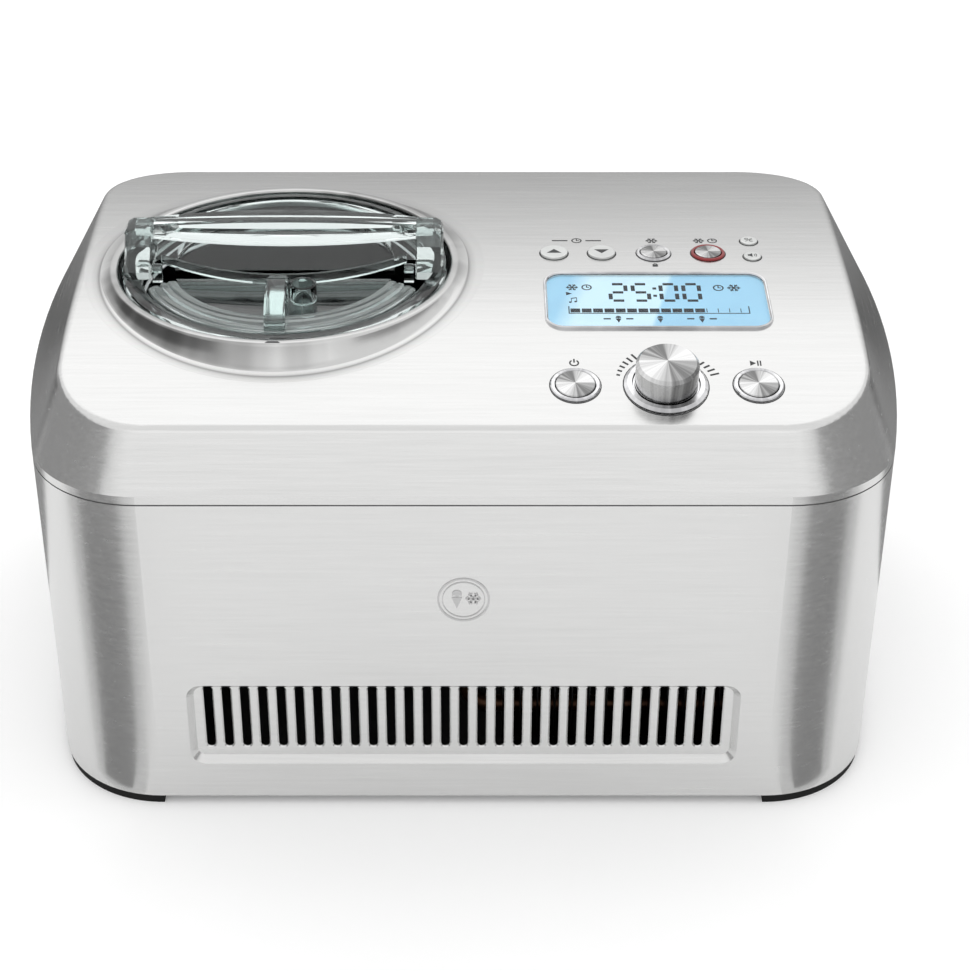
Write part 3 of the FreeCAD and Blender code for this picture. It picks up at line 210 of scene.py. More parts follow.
def blend_with_painted_shade_line(name, shade, rough):
    """Brushed steel with a soft painted shade line where it turns up to the collar."""
    shader = Shader(name, Metallic=1.0, Roughness=rough)
    ramp = shader.add("ShaderNodeValToRGB")
    streaks = shader.stretched_noise((16, 620, 620), detail=5.0, roughness=0.72)
    mix = shader.add("ShaderNodeMix", data_type="RGBA", blend_type="MULTIPLY")
    mix.inputs["Factor"].default_value = 0.10
    stops = ramp.color_ramp.elements
    stops[0].position, stops[0].color = 0.452, (*shade, 1)
    stops[1].position, stops[1].color = 0.482, (*shade, 1)
    # painted shade: the ramp dips to a dark line just outside the collar's foot, standing in for
    # contact shade and a dark reflection
    for spot, painted_shade in ((0.456, 0.92), (0.4605, 0.44), (0.467, 0.82)):
        stops.new(spot).color = (*(painted_shade * c for c in shade), 1)
    shader.link(shader.from_axis(SHADE_LINE_CENTRE)[1], "Value", ramp, "Fac")
    shader.link(ramp, "Color", mix, COLOUR_A)
    shader.link(streaks, "Color", mix, COLOUR_B)
    shader.link(mix, COLOUR_OUT, shader.principled, "Base Color")
    shader.bump(streaks, "Fac", 0.05, 0.00006)
    return shader.material


def spun_face_painted_sheen(name, dark, bright, rough, turn, lift=0.0):
    """Spun steel with a painted sheen: a painted fan of light and dark on the face, streaks down
    the sides.

    A lift above 0 paints level faces brighter than the walls, as painted top light.
    """
    shader = Shader(name, Metallic=1.0, Roughness=rough)
    shift, far = shader.from_axis()
    # painted fan: colour swings with twice the angle round the axis, standing in for reflections on
    # spun steel
    split = shader.add("ShaderNodeSeparateXYZ")
    angle = shader.add("ShaderNodeMath", operation="ARCTAN2")
    double = shader.add("ShaderNodeMath", operation="MULTIPLY_ADD")
    double.inputs[1].default_value = 2.0
    double.inputs[2].default_value = math.radians(turn)
    painted_fan_wave = shader.add("ShaderNodeMath", operation="SINE")
    fine = shader.add("ShaderNodeTexNoise", noise_dimensions="1D", Scale=3.0, Detail=2.0)
    total = shader.add("ShaderNodeMath", operation="MULTIPLY_ADD")
    total.inputs[1].default_value = 0.33
    rings = shader.add("ShaderNodeTexNoise", noise_dimensions="1D", Scale=90.0, Detail=2.0)
    # painted top light: faces turned upwards are made lighter by the lift
    facing = shader.add("ShaderNodeNewGeometry")
    upward = shader.add("ShaderNodeSeparateXYZ")
    level = shader.add("ShaderNodeMath", operation="POWER")
    level.inputs[1].default_value = 4.0
    painted_top_light = shader.add("ShaderNodeMath", operation="MULTIPLY_ADD")
    painted_top_light.inputs[1].default_value = lift
    shader.link(shift, "Vector", split, "Vector")
    shader.link(split, "Y", angle, 0)
    shader.link(split, "X", angle, 1)
    shader.link(angle, "Value", double, 0)
    shader.link(angle, "Value", fine, "W")
    shader.link(double, "Value", painted_fan_wave, 0)
    shader.link(painted_fan_wave, "Value", total, 0)
    shader.link(fine, "Fac", total, 2)
    shader.link(far, "Value", rings, "W")
    shader.link(facing, "Normal", upward, "Vector")
    shader.link(upward, "Z", level, 0)
    shader.link(level, "Value", painted_top_light, 0)
    shader.link(total, "Value", painted_top_light, 2)
    shader.tint(painted_top_light, "Value", dark, bright, 0.18, 0.86)
    shader.bump(rings, "Fac", 0.15, 0.00005)
    return shader.material


def moulded(name, shade, rough, grain=2200.0, depth=0.15, **more):
    """Moulded plastic, rubber or paint with a fine skin."""
    shader = Shader(name, Roughness=rough, **more)
    skin = shader.stretched_noise((grain,) * 3, detail=2.0)
    cloud = shader.stretched_noise((60, 60, 60), detail=3.0)
    shader.tint(cloud, "Fac", tuple(0.86 * c for c in shade), shade)
    shader.bump(skin, "Fac", depth, 0.00008)
    return shader.material


def clear_plastic(name, shade, rough=0.03, through=1.0, bend=1.47):
    """Clear polished plastic with faint moulding ripples."""
    shader = Shader(name, Roughness=rough, IOR=bend, Transmission_Weight=through)
    ripple = shader.stretched_noise((70, 70, 70), detail=1.0)
    shader.tint(ripple, "Fac", tuple(0.97 * c for c in shade), shade)
    shader.bump(ripple, "Fac", 0.25, 0.0003)
    return shader.material


def backlit(name, painted_sheen_colour, deep, strength):
    """Display face: pale backlight, with a painted slanting sheen over its left half."""
    shader = Shader(name, Roughness=0.35)
    place = shader.add("ShaderNodeTexCoord")
    split = shader.add("ShaderNodeSeparateXYZ")
    sheen_slant = shader.add("ShaderNodeMath", operation="MULTIPLY_ADD")
    sheen_slant.inputs[1].default_value = -0.115
    ramp = shader.add("ShaderNodeValToRGB")
    cells = shader.stretched_noise((900, 900, 900), detail=1.0)
    mix = shader.add("ShaderNodeMix", data_type="RGBA", blend_type="MULTIPLY")
    mix.inputs["Factor"].default_value = 0.04
    stops = ramp.color_ramp.elements
    stops[0].position, stops[0].color = 0.0, (*deep, 1)
    stops[1].position, stops[1].color = 1.0, (*deep, 1)
    # painted sheen: the lighter stops over the left half stand in for a reflection on the pane
    for spot, shade in ((0.10, painted_sheen_colour), (0.455, painted_sheen_colour), (0.475, deep)):
        stops.new(spot).color = (*shade, 1)
    shader.link(place, "Generated", split, "Vector")
    shader.link(split, "Y", sheen_slant, 0)
    shader.link(split, "X", sheen_slant, 2)
    shader.link(sheen_slant, "Value", ramp, "Fac")
    shader.link(ramp, "Color", mix, COLOUR_A)
    shader.link(cells, "Color", mix, COLOUR_B)
    shader.link(mix, COLOUR_OUT, shader.principled, "Emission Color")
    shader.link(mix, COLOUR_OUT, shader.principled, "Base Color")
    shader.principled.inputs["Emission Strength"].default_value = strength
    return shader.material


STEEL = (0.66, 0.66, 0.655)
MATERIALS = {
    "brushed_steel": brushed_sheet("brushed_steel_sheet", STEEL, 0.24),
    # collar: far darker than the cover's steel as painted dark reflection, with a painted fan sheen
    # and painted top light on level faces
    "collar_steel": spun_face_painted_sheen("collar_satin_painted_reflection", (0.15, 0.15, 0.148), (0.57, 0.57, 0.566), 0.22, 200.0,
                              0.50),
    "black_plastic": moulded("black_plastic_skin", (0.022, 0.022, 0.024), 0.45),
    "foot_rubber": moulded("foot_rubber_skin", (0.006, 0.006, 0.006), 0.7, 1500.0, 0.2,
                           Specular_IOR_Level=0.2),
    "clear_plastic": clear_plastic("clear_lid_plastic", (0.80, 0.865, 0.855)),
    # buttons, dial and trim: spun steel with a painted fan sheen standing in for their conical
    # reflections
    "spun_steel": spun_face_painted_sheen("spun_steel_painted_fan", (0.17, 0.17, 0.17), (0.72, 0.72, 0.72), 0.24, 20.0),
    "bright_trim": spun_face_painted_sheen("bright_trim_painted_fan", (0.40, 0.40, 0.41), (0.82, 0.82, 0.83), 0.14,
                             80.0),
    "keep_cool_red": moulded("red_ring_paint", (0.26, 0.010, 0.012), 0.3, 1200.0, 0.05,
                             Metallic=0.35, Coat_Weight=0.5),
    "button_cap": moulded("pale_button_cap", (0.70, 0.71, 0.70), 0.28, 1400.0, 0.03,
                          Metallic=0.55),
    "display_glass": clear_plastic("display_pane", (0.97, 0.99, 1.0), 0.02, 1.0, 1.16),
    # display face: backlight glow, its first colour the painted sheen
    "lcd_face": backlit("lcd_glow", (0.50, 0.68, 0.76), (0.27, 0.50, 0.66), 0.55),
    "circuit_board": moulded("green_solder_mask", (0.02, 0.13, 0.05), 0.35, 500.0, 0.1),
    "switch_plastic": moulded("switch_plastic_skin", (0.05, 0.05, 0.055), 0.4),
    "anodised_aluminium": turned_metal("anodised_wall", (0.085, 0.089, 0.092), 0.34, 0.3, 70.0),
    "bail_steel": turned_metal("bright_wire_steel", (0.62, 0.62, 0.63), 0.2, 0.2),
    "paddle_plastic": moulded("paddle_plastic_skin", (0.11, 0.115, 0.115), 0.32, 900.0, 0.08),
    "seal_silicone": moulded("seal_silicone_skin", (0.40, 0.41, 0.41), 0.5),
    "foam": moulded("rigid_foam_cells", (0.70, 0.66, 0.52), 0.8, 700.0, 0.5),
    # copper made far darker than its own tone, as painted shade for the dark inside of the body
    "copper_tube": turned_metal("drawn_copper_painted_shade", (0.13, 0.065, 0.04), 0.45, 0.2),
    "nylon_gear": moulded("nylon_skin", (0.66, 0.66, 0.61), 0.42),
    "gear_steel": turned_metal("cut_gear_steel", (0.50, 0.50, 0.51), 0.3, 0.3),
    "bush_bronze": turned_metal("sintered_bronze", (0.55, 0.38, 0.17), 0.42, 0.2),
    "motor_can": moulded("motor_can_plate", (0.30, 0.31, 0.33), 0.38, 1600.0, 0.1, Metallic=0.9),
    "black_paint": moulded("black_enamel", (0.015, 0.015, 0.016), 0.3, 800.0, 0.1),
}
# cover's rise up to the collar, with a painted shade line at its foot
BLEND_STEEL_PAINTED_SHADE_LINE = blend_with_painted_shade_line("blend_steel_painted_shade_line", STEEL, 0.24)
FROSTED = clear_plastic("frosted_lid_plastic", (0.66, 0.72, 0.71), 0.05, 0.80)
PANE = clear_plastic("rear_pane_plastic", (0.86, 0.91, 0.90), bend=1.19)
SMOKED = clear_plastic("grip_end_plastic", (0.58, 0.64, 0.63), 0.04, 0.93)
BADGE = brushed_sheet("badge_steel", (0.50, 0.50, 0.50), 0.3)
PRINT = moulded("printed_ink", (0.028, 0.029, 0.031), 0.5, 3000.0, 0.02)
SEGMENT = moulded("display_segment", (0.006, 0.012, 0.022), 0.6, 3000.0, 0.02)

for entry in frame["record"]["subparts"]:
    thing = nodes[entry["node"]]
    thing.data.materials.clear()
    thing.data.materials.append(MATERIALS[entry["material_slot"]])


nodes["cover_gasket"].data.materials[0] = moulded("seam_gasket_skin", (0.13, 0.13, 0.13), 0.6)


# ---------------------------------------------------------------- mesh helpers

def finish_piece(name, mesh, material, body, smooth=40.0):
    """Link a mesh as one piece that rides on a body."""
    cleaner = bmesh.new()
    cleaner.from_mesh(mesh)
    bmesh.ops.remove_doubles(cleaner, verts=cleaner.verts, dist=1e-7)
    bmesh.ops.recalc_face_normals(cleaner, faces=cleaner.faces)
    cleaner.to_mesh(mesh)
    cleaner.free()
    for face in mesh.polygons:
        face.use_smooth = True
    mesh.set_sharp_from_angle(angle=math.radians(smooth))
    thing = bpy.data.objects.new(name, mesh)
    bpy.context.collection.objects.link(thing)
    mesh.materials.append(material)
    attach(thing, body)
    return thing


def mesh_of(name, points, faces):
    mesh = bpy.data.meshes.new(name)
    mesh.from_pydata([tuple(point) for point in points], [], faces)
    return mesh


def skin(loops, closed=False):
    """Points and faces of a tube through equal loops, capped unless it closes on itself."""
    count = len(loops[0])
    points = [point for loop in loops for point in loop]
    faces = []
    pairs = list(zip(range(len(loops)), range(1, len(loops))))
    if closed:
        pairs.append((len(loops) - 1, 0))
    for here, there in pairs:
        for index in range(count):
            after = (index + 1) % count
            faces.append((here * count + index, here * count + after,
                          there * count + after, there * count + index))
    if not closed:
        last = (len(loops) - 1) * count
        faces.append(tuple(reversed(range(count))))
        faces.append(tuple(range(last, last + count)))
    return points, faces


def revolved(centre, profile, start=0.0, end=360.0, steps=144):
    """Turn a closed (radius, height) profile about an upright axis."""
    whole = abs(end - start) >= 360.0
    angles = [math.radians(start + (end - start) * step / steps)
              for step in range(steps if whole else steps + 1)]
    loops = [[Vector((centre.x + r * math.cos(a), centre.y + r * math.sin(a), z))
              for r, z in profile] for a in angles]
    return skin(loops, whole)


def merged(*parts):
    """Several (points, faces) pairs as one."""
    points, faces = [], []
    for some_points, some_faces in parts:
        base = len(points)
        points += some_points
        faces += [tuple(base + index for index in face) for face in some_faces]
    return points, faces


# ---------------------------------------------------------------- flat marks

def disc(x, y, radius, steps=24):
    return [(x + radius * math.cos(2 * math.pi * i / steps),
             y + radius * math.sin(2 * math.pi * i / steps)) for i in range(steps)]


def bow(x, y, radius, width, start, end, steps=20):
    """A curved stroke about x, y."""
    outer, inner = [], []
    for step in range(steps + 1):
        angle = math.radians(start + (end - start) * step / steps)
        for ring, reach in ((outer, radius + width / 2), (inner, radius - width / 2)):
            ring.append((x + reach * math.cos(angle), y + reach * math.sin(angle)))
    return outer + inner[::-1]


def circle_line(x, y, radius, width):
    return [bow(x, y, radius, width, 0, 180), bow(x, y, radius, width, 180, 360)]


def stroke(x0, y0, x1, y1, width):
    away = Vector((x1 - x0, y1 - y0)).normalized() * width / 2
    side = Vector((-away.y, away.x))
    return [(x0 - side.x, y0 - side.y), (x1 - side.x, y1 - side.y),
            (x1 + side.x, y1 + side.y), (x0 + side.x, y0 + side.y)]


def box_mark(x0, y0, x1, y1):
    return [(x0, y0), (x1, y0), (x1, y1), (x0, y1)]


def moved(shapes, x, y, scale=1.0, turn=0.0):
    """Marks scaled, turned and shifted."""
    cos, sin = math.cos(math.radians(turn)), math.sin(math.radians(turn))
    return [[(x + scale * (u * cos - v * sin), y + scale * (u * sin + v * cos))
             for u, v in shape] for shape in shapes]


def snowflake():
    arms = []
    for turn in range(0, 360, 60):
        arm = [stroke(0.06, 0, 1, 0, 0.2), stroke(0.5, 0, 0.8, 0.28, 0.16),
               stroke(0.5, 0, 0.8, -0.28, 0.16)]
        arms += moved(arm, 0, 0, 1, turn)
    return arms + [disc(0, 0, 0.1, 12)]


def standby():
    return [bow(0, 0, 0.8, 0.3, 125, 415), stroke(0, 0.1, 0, 1.15, 0.3)]


def play_pause():
    return [[(-1.1, -0.8), (0.1, 0), (-1.1, 0.8)], box_mark(0.35, -0.8, 0.65, 0.8),
            box_mark(0.9, -0.8, 1.2, 0.8)]


def clock():
    return circle_line(0, 0, 0.85, 0.26) + [stroke(0, -0.08, 0, 0.6, 0.22),
                                            stroke(-0.08, 0, 0.48, 0, 0.22)]


def padlock():
    return [box_mark(-0.7, -0.9, 0.7, 0.2), bow(0, 0.2, 0.42, 0.2, 0, 180)]


def speaker():
    return [[(-1.0, -0.35), (-0.6, -0.35), (0, -0.8), (0, 0.8), (-0.6, 0.35), (-1.0, 0.35)],
            bow(0, 0, 0.55, 0.16, -45, 45), bow(0, 0, 0.95, 0.16, -45, 45)]


def degree():
    return circle_line(-0.5, 0.4, 0.32, 0.16) + [stroke(-0.75, -0.75, 0.75, 0.75, 0.14),
                                                 bow(0.5, -0.4, 0.38, 0.17, 50, 310)]


def cone():
    return [[(-0.42, 0.1), (0, -1.0), (0.42, 0.1)], bow(0, 0.38, 0.3, 0.2, -20, 200),
            disc(0, 0.38, 0.2, 16)]


def note():
    return [disc(-0.55, -0.6, 0.26, 14), disc(0.45, -0.4, 0.26, 14),
            stroke(-0.33, -0.6, -0.33, 0.7, 0.12), stroke(0.67, -0.4, 0.67, 0.9, 0.12),
            stroke(-0.33, 0.7, 0.67, 0.9, 0.24)]


def marks(name, shapes, spot, thickness, material, body):
    """Thin raised shapes; spot maps (u, v, height) in millimetres to a place."""
    points, faces = [], []
    for shape in shapes:
        base = len(points)
        count = len(shape)
        points += [spot(u, v, thickness) for u, v in shape]
        points += [spot(u, v, -0.01) for u, v in shape]
        flat = [Vector((u, v, 0)) for u, v in shape]
        for a, b, c in tessellate_polygon([flat]):
            faces.append((base + a, base + b, base + c))
            faces.append((base + count + c, base + count + b, base + count + a))
        for index in range(count):
            after = (index + 1) % count
            faces.append((base + index, base + after, base + count + after, base + count + index))
    return finish_piece(name, mesh_of(name, points, faces), material, body)


def on_cover(u, v, height):
    return plateau(u * MM, v * MM, height * MM)


# ---------------------------------------------------------------- collar

BORE = 76.1 * MM
RIM = 79.8 * MM
FOOT = 84.2 * MM
BLEND_END = 91.5 * MM
COLLAR_BASE = 197.2 * MM
TICK_REACH = 78.9


def around_bowl(angle, radius, height):
    return Vector((BOWL.x + radius * math.cos(angle), BOWL.y + radius * math.sin(angle), height))


def cover_height(angle, radius):
    """Height of the plateau at a place round the bowl."""
    return plateau(BOWL.x, BOWL.y + radius * math.sin(angle)).z


def wall_foot(angle):
    """Where the sloping wall of the collar meets the cover: radius and height."""
    radius = FOOT + 0.12 * (COLLAR_TOP - cover_height(angle, FOOT))
    return radius, cover_height(angle, radius) + 0.25 * MM


def collar_profile(angle):
    """Closed section of the collar at one angle round the bowl, inside to outside."""
    top = COLLAR_TOP
    foot, low = wall_foot(angle)
    section = [(BORE, COLLAR_BASE), (BORE, top - 1.2 * MM), (BORE + 0.2 * MM, top - 0.5 * MM),
               (BORE + 0.7 * MM, top - 0.1 * MM), (BORE + 1.2 * MM, top), (RIM - 1.2 * MM, top),
               (RIM - 0.4 * MM, top - 0.08 * MM), (RIM, top - 0.25 * MM)]
    for step in range(1, 13):
        part = step / 12
        section.append((RIM + (foot - RIM) * part,
                        low + (top - 0.25 * MM - low) * (1 - part) ** 1.7))
    return section + [(foot, low - 1.2 * MM), (RIM - 1 * MM, low - 1.2 * MM),
                      (RIM - 1 * MM, COLLAR_BASE)]


def blend_profile(angle):
    """Section of the cover's soft rise up to the collar's foot."""
    foot, low = wall_foot(angle)
    start = foot - 0.3 * MM
    rise = low - cover_height(angle, foot) + 0.01 * (COLLAR_TOP - low)
    section = []
    for step in range(13):
        part = step / 12
        radius = start + (BLEND_END - start) * part
        lift = rise * (1 - part) ** 3 + 0.03 * MM
        section.append((radius, cover_height(angle, radius) + lift))
    return section + [(BLEND_END, cover_height(angle, BLEND_END) - 0.05 * MM),
                      (start, cover_height(angle, start) - 0.4 * MM)]


def swept_round_bowl(profile_at, steps=240):
    angles = [2 * math.pi * step / steps for step in range(steps)]
    return skin([[around_bowl(angle, r, z) for r, z in profile_at(angle)] for angle in angles],
                True)


def collar():
    points, faces = swept_round_bowl(collar_profile)
    ring = finish_piece("collar_ring", mesh_of("collar_ring", points, faces),
                        MATERIALS["collar_steel"], "root", 50.0)
    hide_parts("bowl_collar")
    points, faces = swept_round_bowl(blend_profile)
    finish_piece("collar_blend", mesh_of("collar_blend", points, faces), BLEND_STEEL_PAINTED_SHADE_LINE, "root",
                 50.0)
    tick = moved([[(-3.2, -0.5), (3.2, -0.5), (2.2, 0.7), (-2.2, 0.7)]], BOWL.x / MM,
                 BOWL.y / MM - TICK_REACH)
    marks("collar_tick", tick, lambda u, v, h: Vector((u * MM, v * MM, COLLAR_TOP + h * MM)),
          0.06, PRINT, "root")


# ---------------------------------------------------------------- clear lid

LID_RADIUS = 74.5 * MM
PANE_RADIUS = 50.5 * MM
FLAP_EDGE = 64.6 * MM
HINGE_Y = -14.5 * MM
HINGE_Z = 216.0 * MM
LID_CLEAR = MATERIALS["clear_plastic"]


def lid_ring():
    """Outer ring of the lid with its stepped top and skirt."""
    top = LID_TOP
    return revolved(BOWL, [
        (66.0 * MM, top - 10.4 * MM), (71.8 * MM, top - 10.4 * MM), (72.0 * MM, top - 4.0 * MM),
        (74.2 * MM, top - 3.8 * MM), (LID_RADIUS, top - 3.4 * MM), (LID_RADIUS, top - 1.0 * MM),
        (74.0 * MM, top - 0.3 * MM), (73.2 * MM, top), (70.6 * MM, top),
        (70.2 * MM, top - 1.2 * MM), (67.6 * MM, top - 1.2 * MM), (66.4 * MM, top - 1.8 * MM),
        (66.0 * MM, top - 2.6 * MM)])


def lid_back():
    """Fixed rear half: a pane with a raised inner step."""
    top = LID_TOP
    start, end = 5.0, 175.0
    step = revolved(BOWL, [(66.2 * MM, top - 4.0 * MM), (66.2 * MM, top - 1.6 * MM),
                           (55.0 * MM, top - 1.6 * MM), (53.0 * MM, top - 0.6 * MM),
                           (PANE_RADIUS, top - 0.6 * MM), (PANE_RADIUS, top - 4.0 * MM)],
                    start, end, 72)
    loops = []
    front = BOWL.y - 5 * MM
    low, high = top - 3.8 * MM, top - 1.9 * MM
    for index in range(49):
        angle = math.radians(start + (end - start) * index / 48)
        x = BOWL.x + PANE_RADIUS * math.cos(angle)
        y = BOWL.y + PANE_RADIUS * math.sin(angle)
        loops.append([Vector((x, front, low)), Vector((x, y, low)),
                      Vector((x, y, high)), Vector((x, front, high))])
    return merged(step, skin(loops))


def grip_bar():
    """Arched bridge of a finger grip across the lid, deepest and scooped in the middle."""
    half = 68.0 * MM
    crown = top_of("lid") - 0.2 * MM
    y = BOWL.y + 8.5 * MM
    edge = 1.4 * MM
    loops = []
    for step in range(49):
        part = -1 + 2 * step / 48
        swell = 1 - part ** 2
        wide = (4.6 + 2.4 * swell) * MM
        top = crown - 3.7 * MM * part ** 2
        low = top - (6.0 + 7.6 * swell) * MM
        middle_height = (top + low) / 2
        scoop = 2.4 * swell * MM
        loops.append([Vector((BOWL.x + half * part, y + across, height)) for across, height in (
            (-wide * 0.80 + edge, top), (-wide * 0.88, top - edge * 0.3),
            (-wide * 0.94, top - edge), (-wide + scoop, middle_height),
            (-wide, low + 1.5 * edge), (-wide * 0.96, low + edge * 0.5), (-wide * 0.86, low),
            (wide * 0.86, low), (wide, low + edge), (wide - scoop, middle_height),
            (wide * 0.94, top - edge), (wide * 0.80 - edge, top))])
    return skin(loops)


def grip_end(side):
    """Rounded block that carries one end of the grip and the hinge knuckle."""
    outline = [(-15.9, -1.2), (-16.0, 2.4), (-14.4, 4.4), (-8.6, 6.2), (-6.0, 8.4),
               (-4.6, 12.4), (-1.4, 16.0), (2.0, 17.0), (11.0, 17.0), (14.0, 14.4),
               (15.4, 6.0), (15.4, -1.2)]
    loops = []
    for reach, shrink in ((60.2, 1.2), (60.8, 0.3), (61.8, 0.0), (69.4, 0.0), (71.6, 0.9),
                          (72.8, 2.6)):
        x = BOWL.x + side * reach * MM
        loops.append([Vector((x, BOWL.y + (y - math.copysign(shrink, y)) * MM,
                              LID_TOP + (z - (shrink if z > 0 else 0)) * MM))
                      for y, z in outline])
    return skin(loops)


def rod_along_x(start, end, y, z, radius, steps=24, rounding=0.5 * MM):
    """A rod along X with eased ends."""
    loops = []
    for x, reach in ((start, radius - rounding), (start + rounding, radius),
                     (end - rounding, radius), (end, radius - rounding)):
        loops.append([Vector((x, y + reach * math.cos(2 * math.pi * i / steps),
                              z + reach * math.sin(2 * math.pi * i / steps)))
                      for i in range(steps)])
    return skin(loops)


def block(x0, x1, y0, y1, z0, z1):
    loops = [[Vector((x, y0, z0)), Vector((x, y1, z0)), Vector((x, y1, z1)), Vector((x, y0, z1))]
             for x in (x0, x1)]
    return skin(loops)


def lid():
    points, faces = merged(lid_ring(), grip_bar())
    clear = finish_piece("clear_lid", mesh_of("clear_lid", points, faces), LID_CLEAR,
                         "lid", 30.0)
    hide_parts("lid")
    points, faces = merged(grip_end(-1), grip_end(1))
    ends = finish_piece("grip_ends", mesh_of("grip_ends", points, faces), SMOKED,
                        "lid", 30.0)
    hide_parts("lid")
    points, faces = lid_back()
    rear = finish_piece("lid_rear_pane", mesh_of("lid_rear_pane", points, faces), PANE,
                        "lid", 30.0)
    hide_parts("lid")


def flap_band():
    """Thick stepped border of the flap."""
    top = LID_TOP
    return revolved(BOWL, [
        (FLAP_EDGE, top - 4.0 * MM), (FLAP_EDGE, top - 2.3 * MM), (63.9 * MM, top - 1.8 * MM),
        (62.6 * MM, top - 1.8 * MM), (62.3 * MM, top - 1.2 * MM), (60.2 * MM, top - 1.2 * MM),
        (59.8 * MM, top - 1.9 * MM), (59.2 * MM, top - 1.9 * MM), (58.6 * MM, top - 0.6 * MM),
        (56.6 * MM, top - 0.4 * MM), (56.2 * MM, top - 1.0 * MM), (55.6 * MM, top - 1.0 * MM),
        (55.2 * MM, top - 0.2 * MM), (53.6 * MM, top - 0.2 * MM),
        (51.6 * MM, top - 0.8 * MM), (50.4 * MM, top - 2.4 * MM), (50.4 * MM, top - 4.2 * MM)],
        201.0, 339.0, 96)


def flap_pane():
    """Clear pane inside the border, up to the hinge."""
    inner = PANE_RADIUS + 0.1 * MM
    low, high = LID_TOP - 4.1 * MM, LID_TOP - 2.3 * MM
    loops = []
    edge = HINGE_Y - 1.5 * MM
    reach = math.sqrt(inner ** 2 - (edge - BOWL.y) ** 2)
    for index in range(49):
        x = -reach + 2 * reach * index / 48
        y = BOWL.y - math.sqrt(inner ** 2 - x ** 2)
        loops.append([Vector((BOWL.x + x, y, low)), Vector((BOWL.x + x, edge, low)),
                      Vector((BOWL.x + x, edge, high)), Vector((BOWL.x + x, y, high))])
    return skin(loops)


def flap_rib():
    """Curved rib that bows from one end of the hinge to the other."""
    loops = []
    for index in range(41):
        part = 2 * index / 40 - 1
        x = BOWL.x + 56 * MM * part
        y = (-20.0 + 12.0 * part ** 2) * MM
        half = 1.3 * MM
        crest = LID_TOP + (2.0 + 3.9 * part ** 2) * MM
        low = LID_TOP + (5.0 * part ** 2 - 2.6) * MM
        loops.append([Vector((x, y - half, low)), Vector((x, y + half, low)),
                      Vector((x, y + half * 0.6, crest)), Vector((x, y - half * 0.6, crest))])
    return skin(loops)


def flap_fin():
    """Upright finger tab with a rounded crown."""
    x0, x1 = BOWL.x - 5.0 * MM, BOWL.x + 4.2 * MM
    outline = [(-63.2, -3.0), (-64.0, 0.5), (-62.8, 4.5), (-59.5, 8.2),
               (-53.0, 10.8), (-44.0, 11.2), (-36.0, 10.8), (-32.0, 9.2), (-30.2, 5.6),
               (-30.2, -3.0)]
    middle_y = -49.0
    loops = []
    for x, shrink in ((x0, 0.8), (x0 + 0.8 * MM, 0.0), (x1 - 0.8 * MM, 0.0), (x1, 0.8)):
        loop = []
        for y, z in outline:
            pull = shrink if z > -2.5 else 0.0
            toward = -1 if y > middle_y else 1
            loop.append(Vector((x, BOWL.y + (y + toward * pull) * MM,
                                LID_TOP + (z - pull) * MM)))
        loops.append(loop)
    return skin(loops)


def flap_cup():
    """Short clear spout beside the tab."""
    centre = Vector((BOWL.x + 10.2 * MM, BOWL.y - 32.5 * MM, 0))
    top = LID_TOP
    return revolved(centre, [(4.4 * MM, top - 3.2 * MM), (6.2 * MM, top - 3.2 * MM),
                             (6.2 * MM, top + 5.2 * MM), (5.6 * MM, top + 5.9 * MM),
                             (4.9 * MM, top + 5.6 * MM), (4.4 * MM, top + 4.6 * MM)], steps=40)


def flap():
    parts = [flap_pane(), flap_rib(), flap_fin(), flap_cup()]
    for side in (-1, 1):
        near, far = sorted((BOWL.x + side * 55 * MM, BOWL.x + side * 59.4 * MM))
        parts.append(rod_along_x(near, far, HINGE_Y, HINGE_Z, 2.1 * MM))
        parts.append(block(near, far, HINGE_Y - 2.3 * MM, HINGE_Y + 1.0 * MM,
                           LID_TOP - 3.8 * MM, HINGE_Z))
    points, faces = merged(*parts)
    clear = finish_piece("clear_flap", mesh_of("clear_flap", points, faces), LID_CLEAR,
                         "lid_flap", 30.0)
    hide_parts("lid_flap")
    points, faces = flap_band()
    band = finish_piece("flap_border", mesh_of("flap_border", points, faces), FROSTED,
                        "lid_flap", 30.0)
    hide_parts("lid_flap")


# ---------------------------------------------------------------- printed marks

TICK_START = 20.4
LOWER_ROW = -96.4
UPPER_ROW = 6.3
ROWS = {"pre_cool_button": UPPER_ROW, "keep_cool_button": UPPER_ROW, "up_button": UPPER_ROW,
        "down_button": UPPER_ROW, "temperature_unit_button": 18.6, "sound_button": 2.9}
# radii of dark circles round each ring and the dial skirt: painted shade in the gaps between parts
GAP_SHADE_RADII = {"power_button": 11.0, "start_button": 11.0, "pre_cool_button": 8.1,
              "keep_cool_button": 8.1, "up_button": 6.65, "down_button": 6.65,
              "temperature_unit_button": 4.35, "sound_button": 4.35, "dial_skirt": 18.3}
CAP_X = {"up_button": 41.9, "down_button": 63.9, "temperature_unit_button": 133.4,
         "sound_button": 133.4}


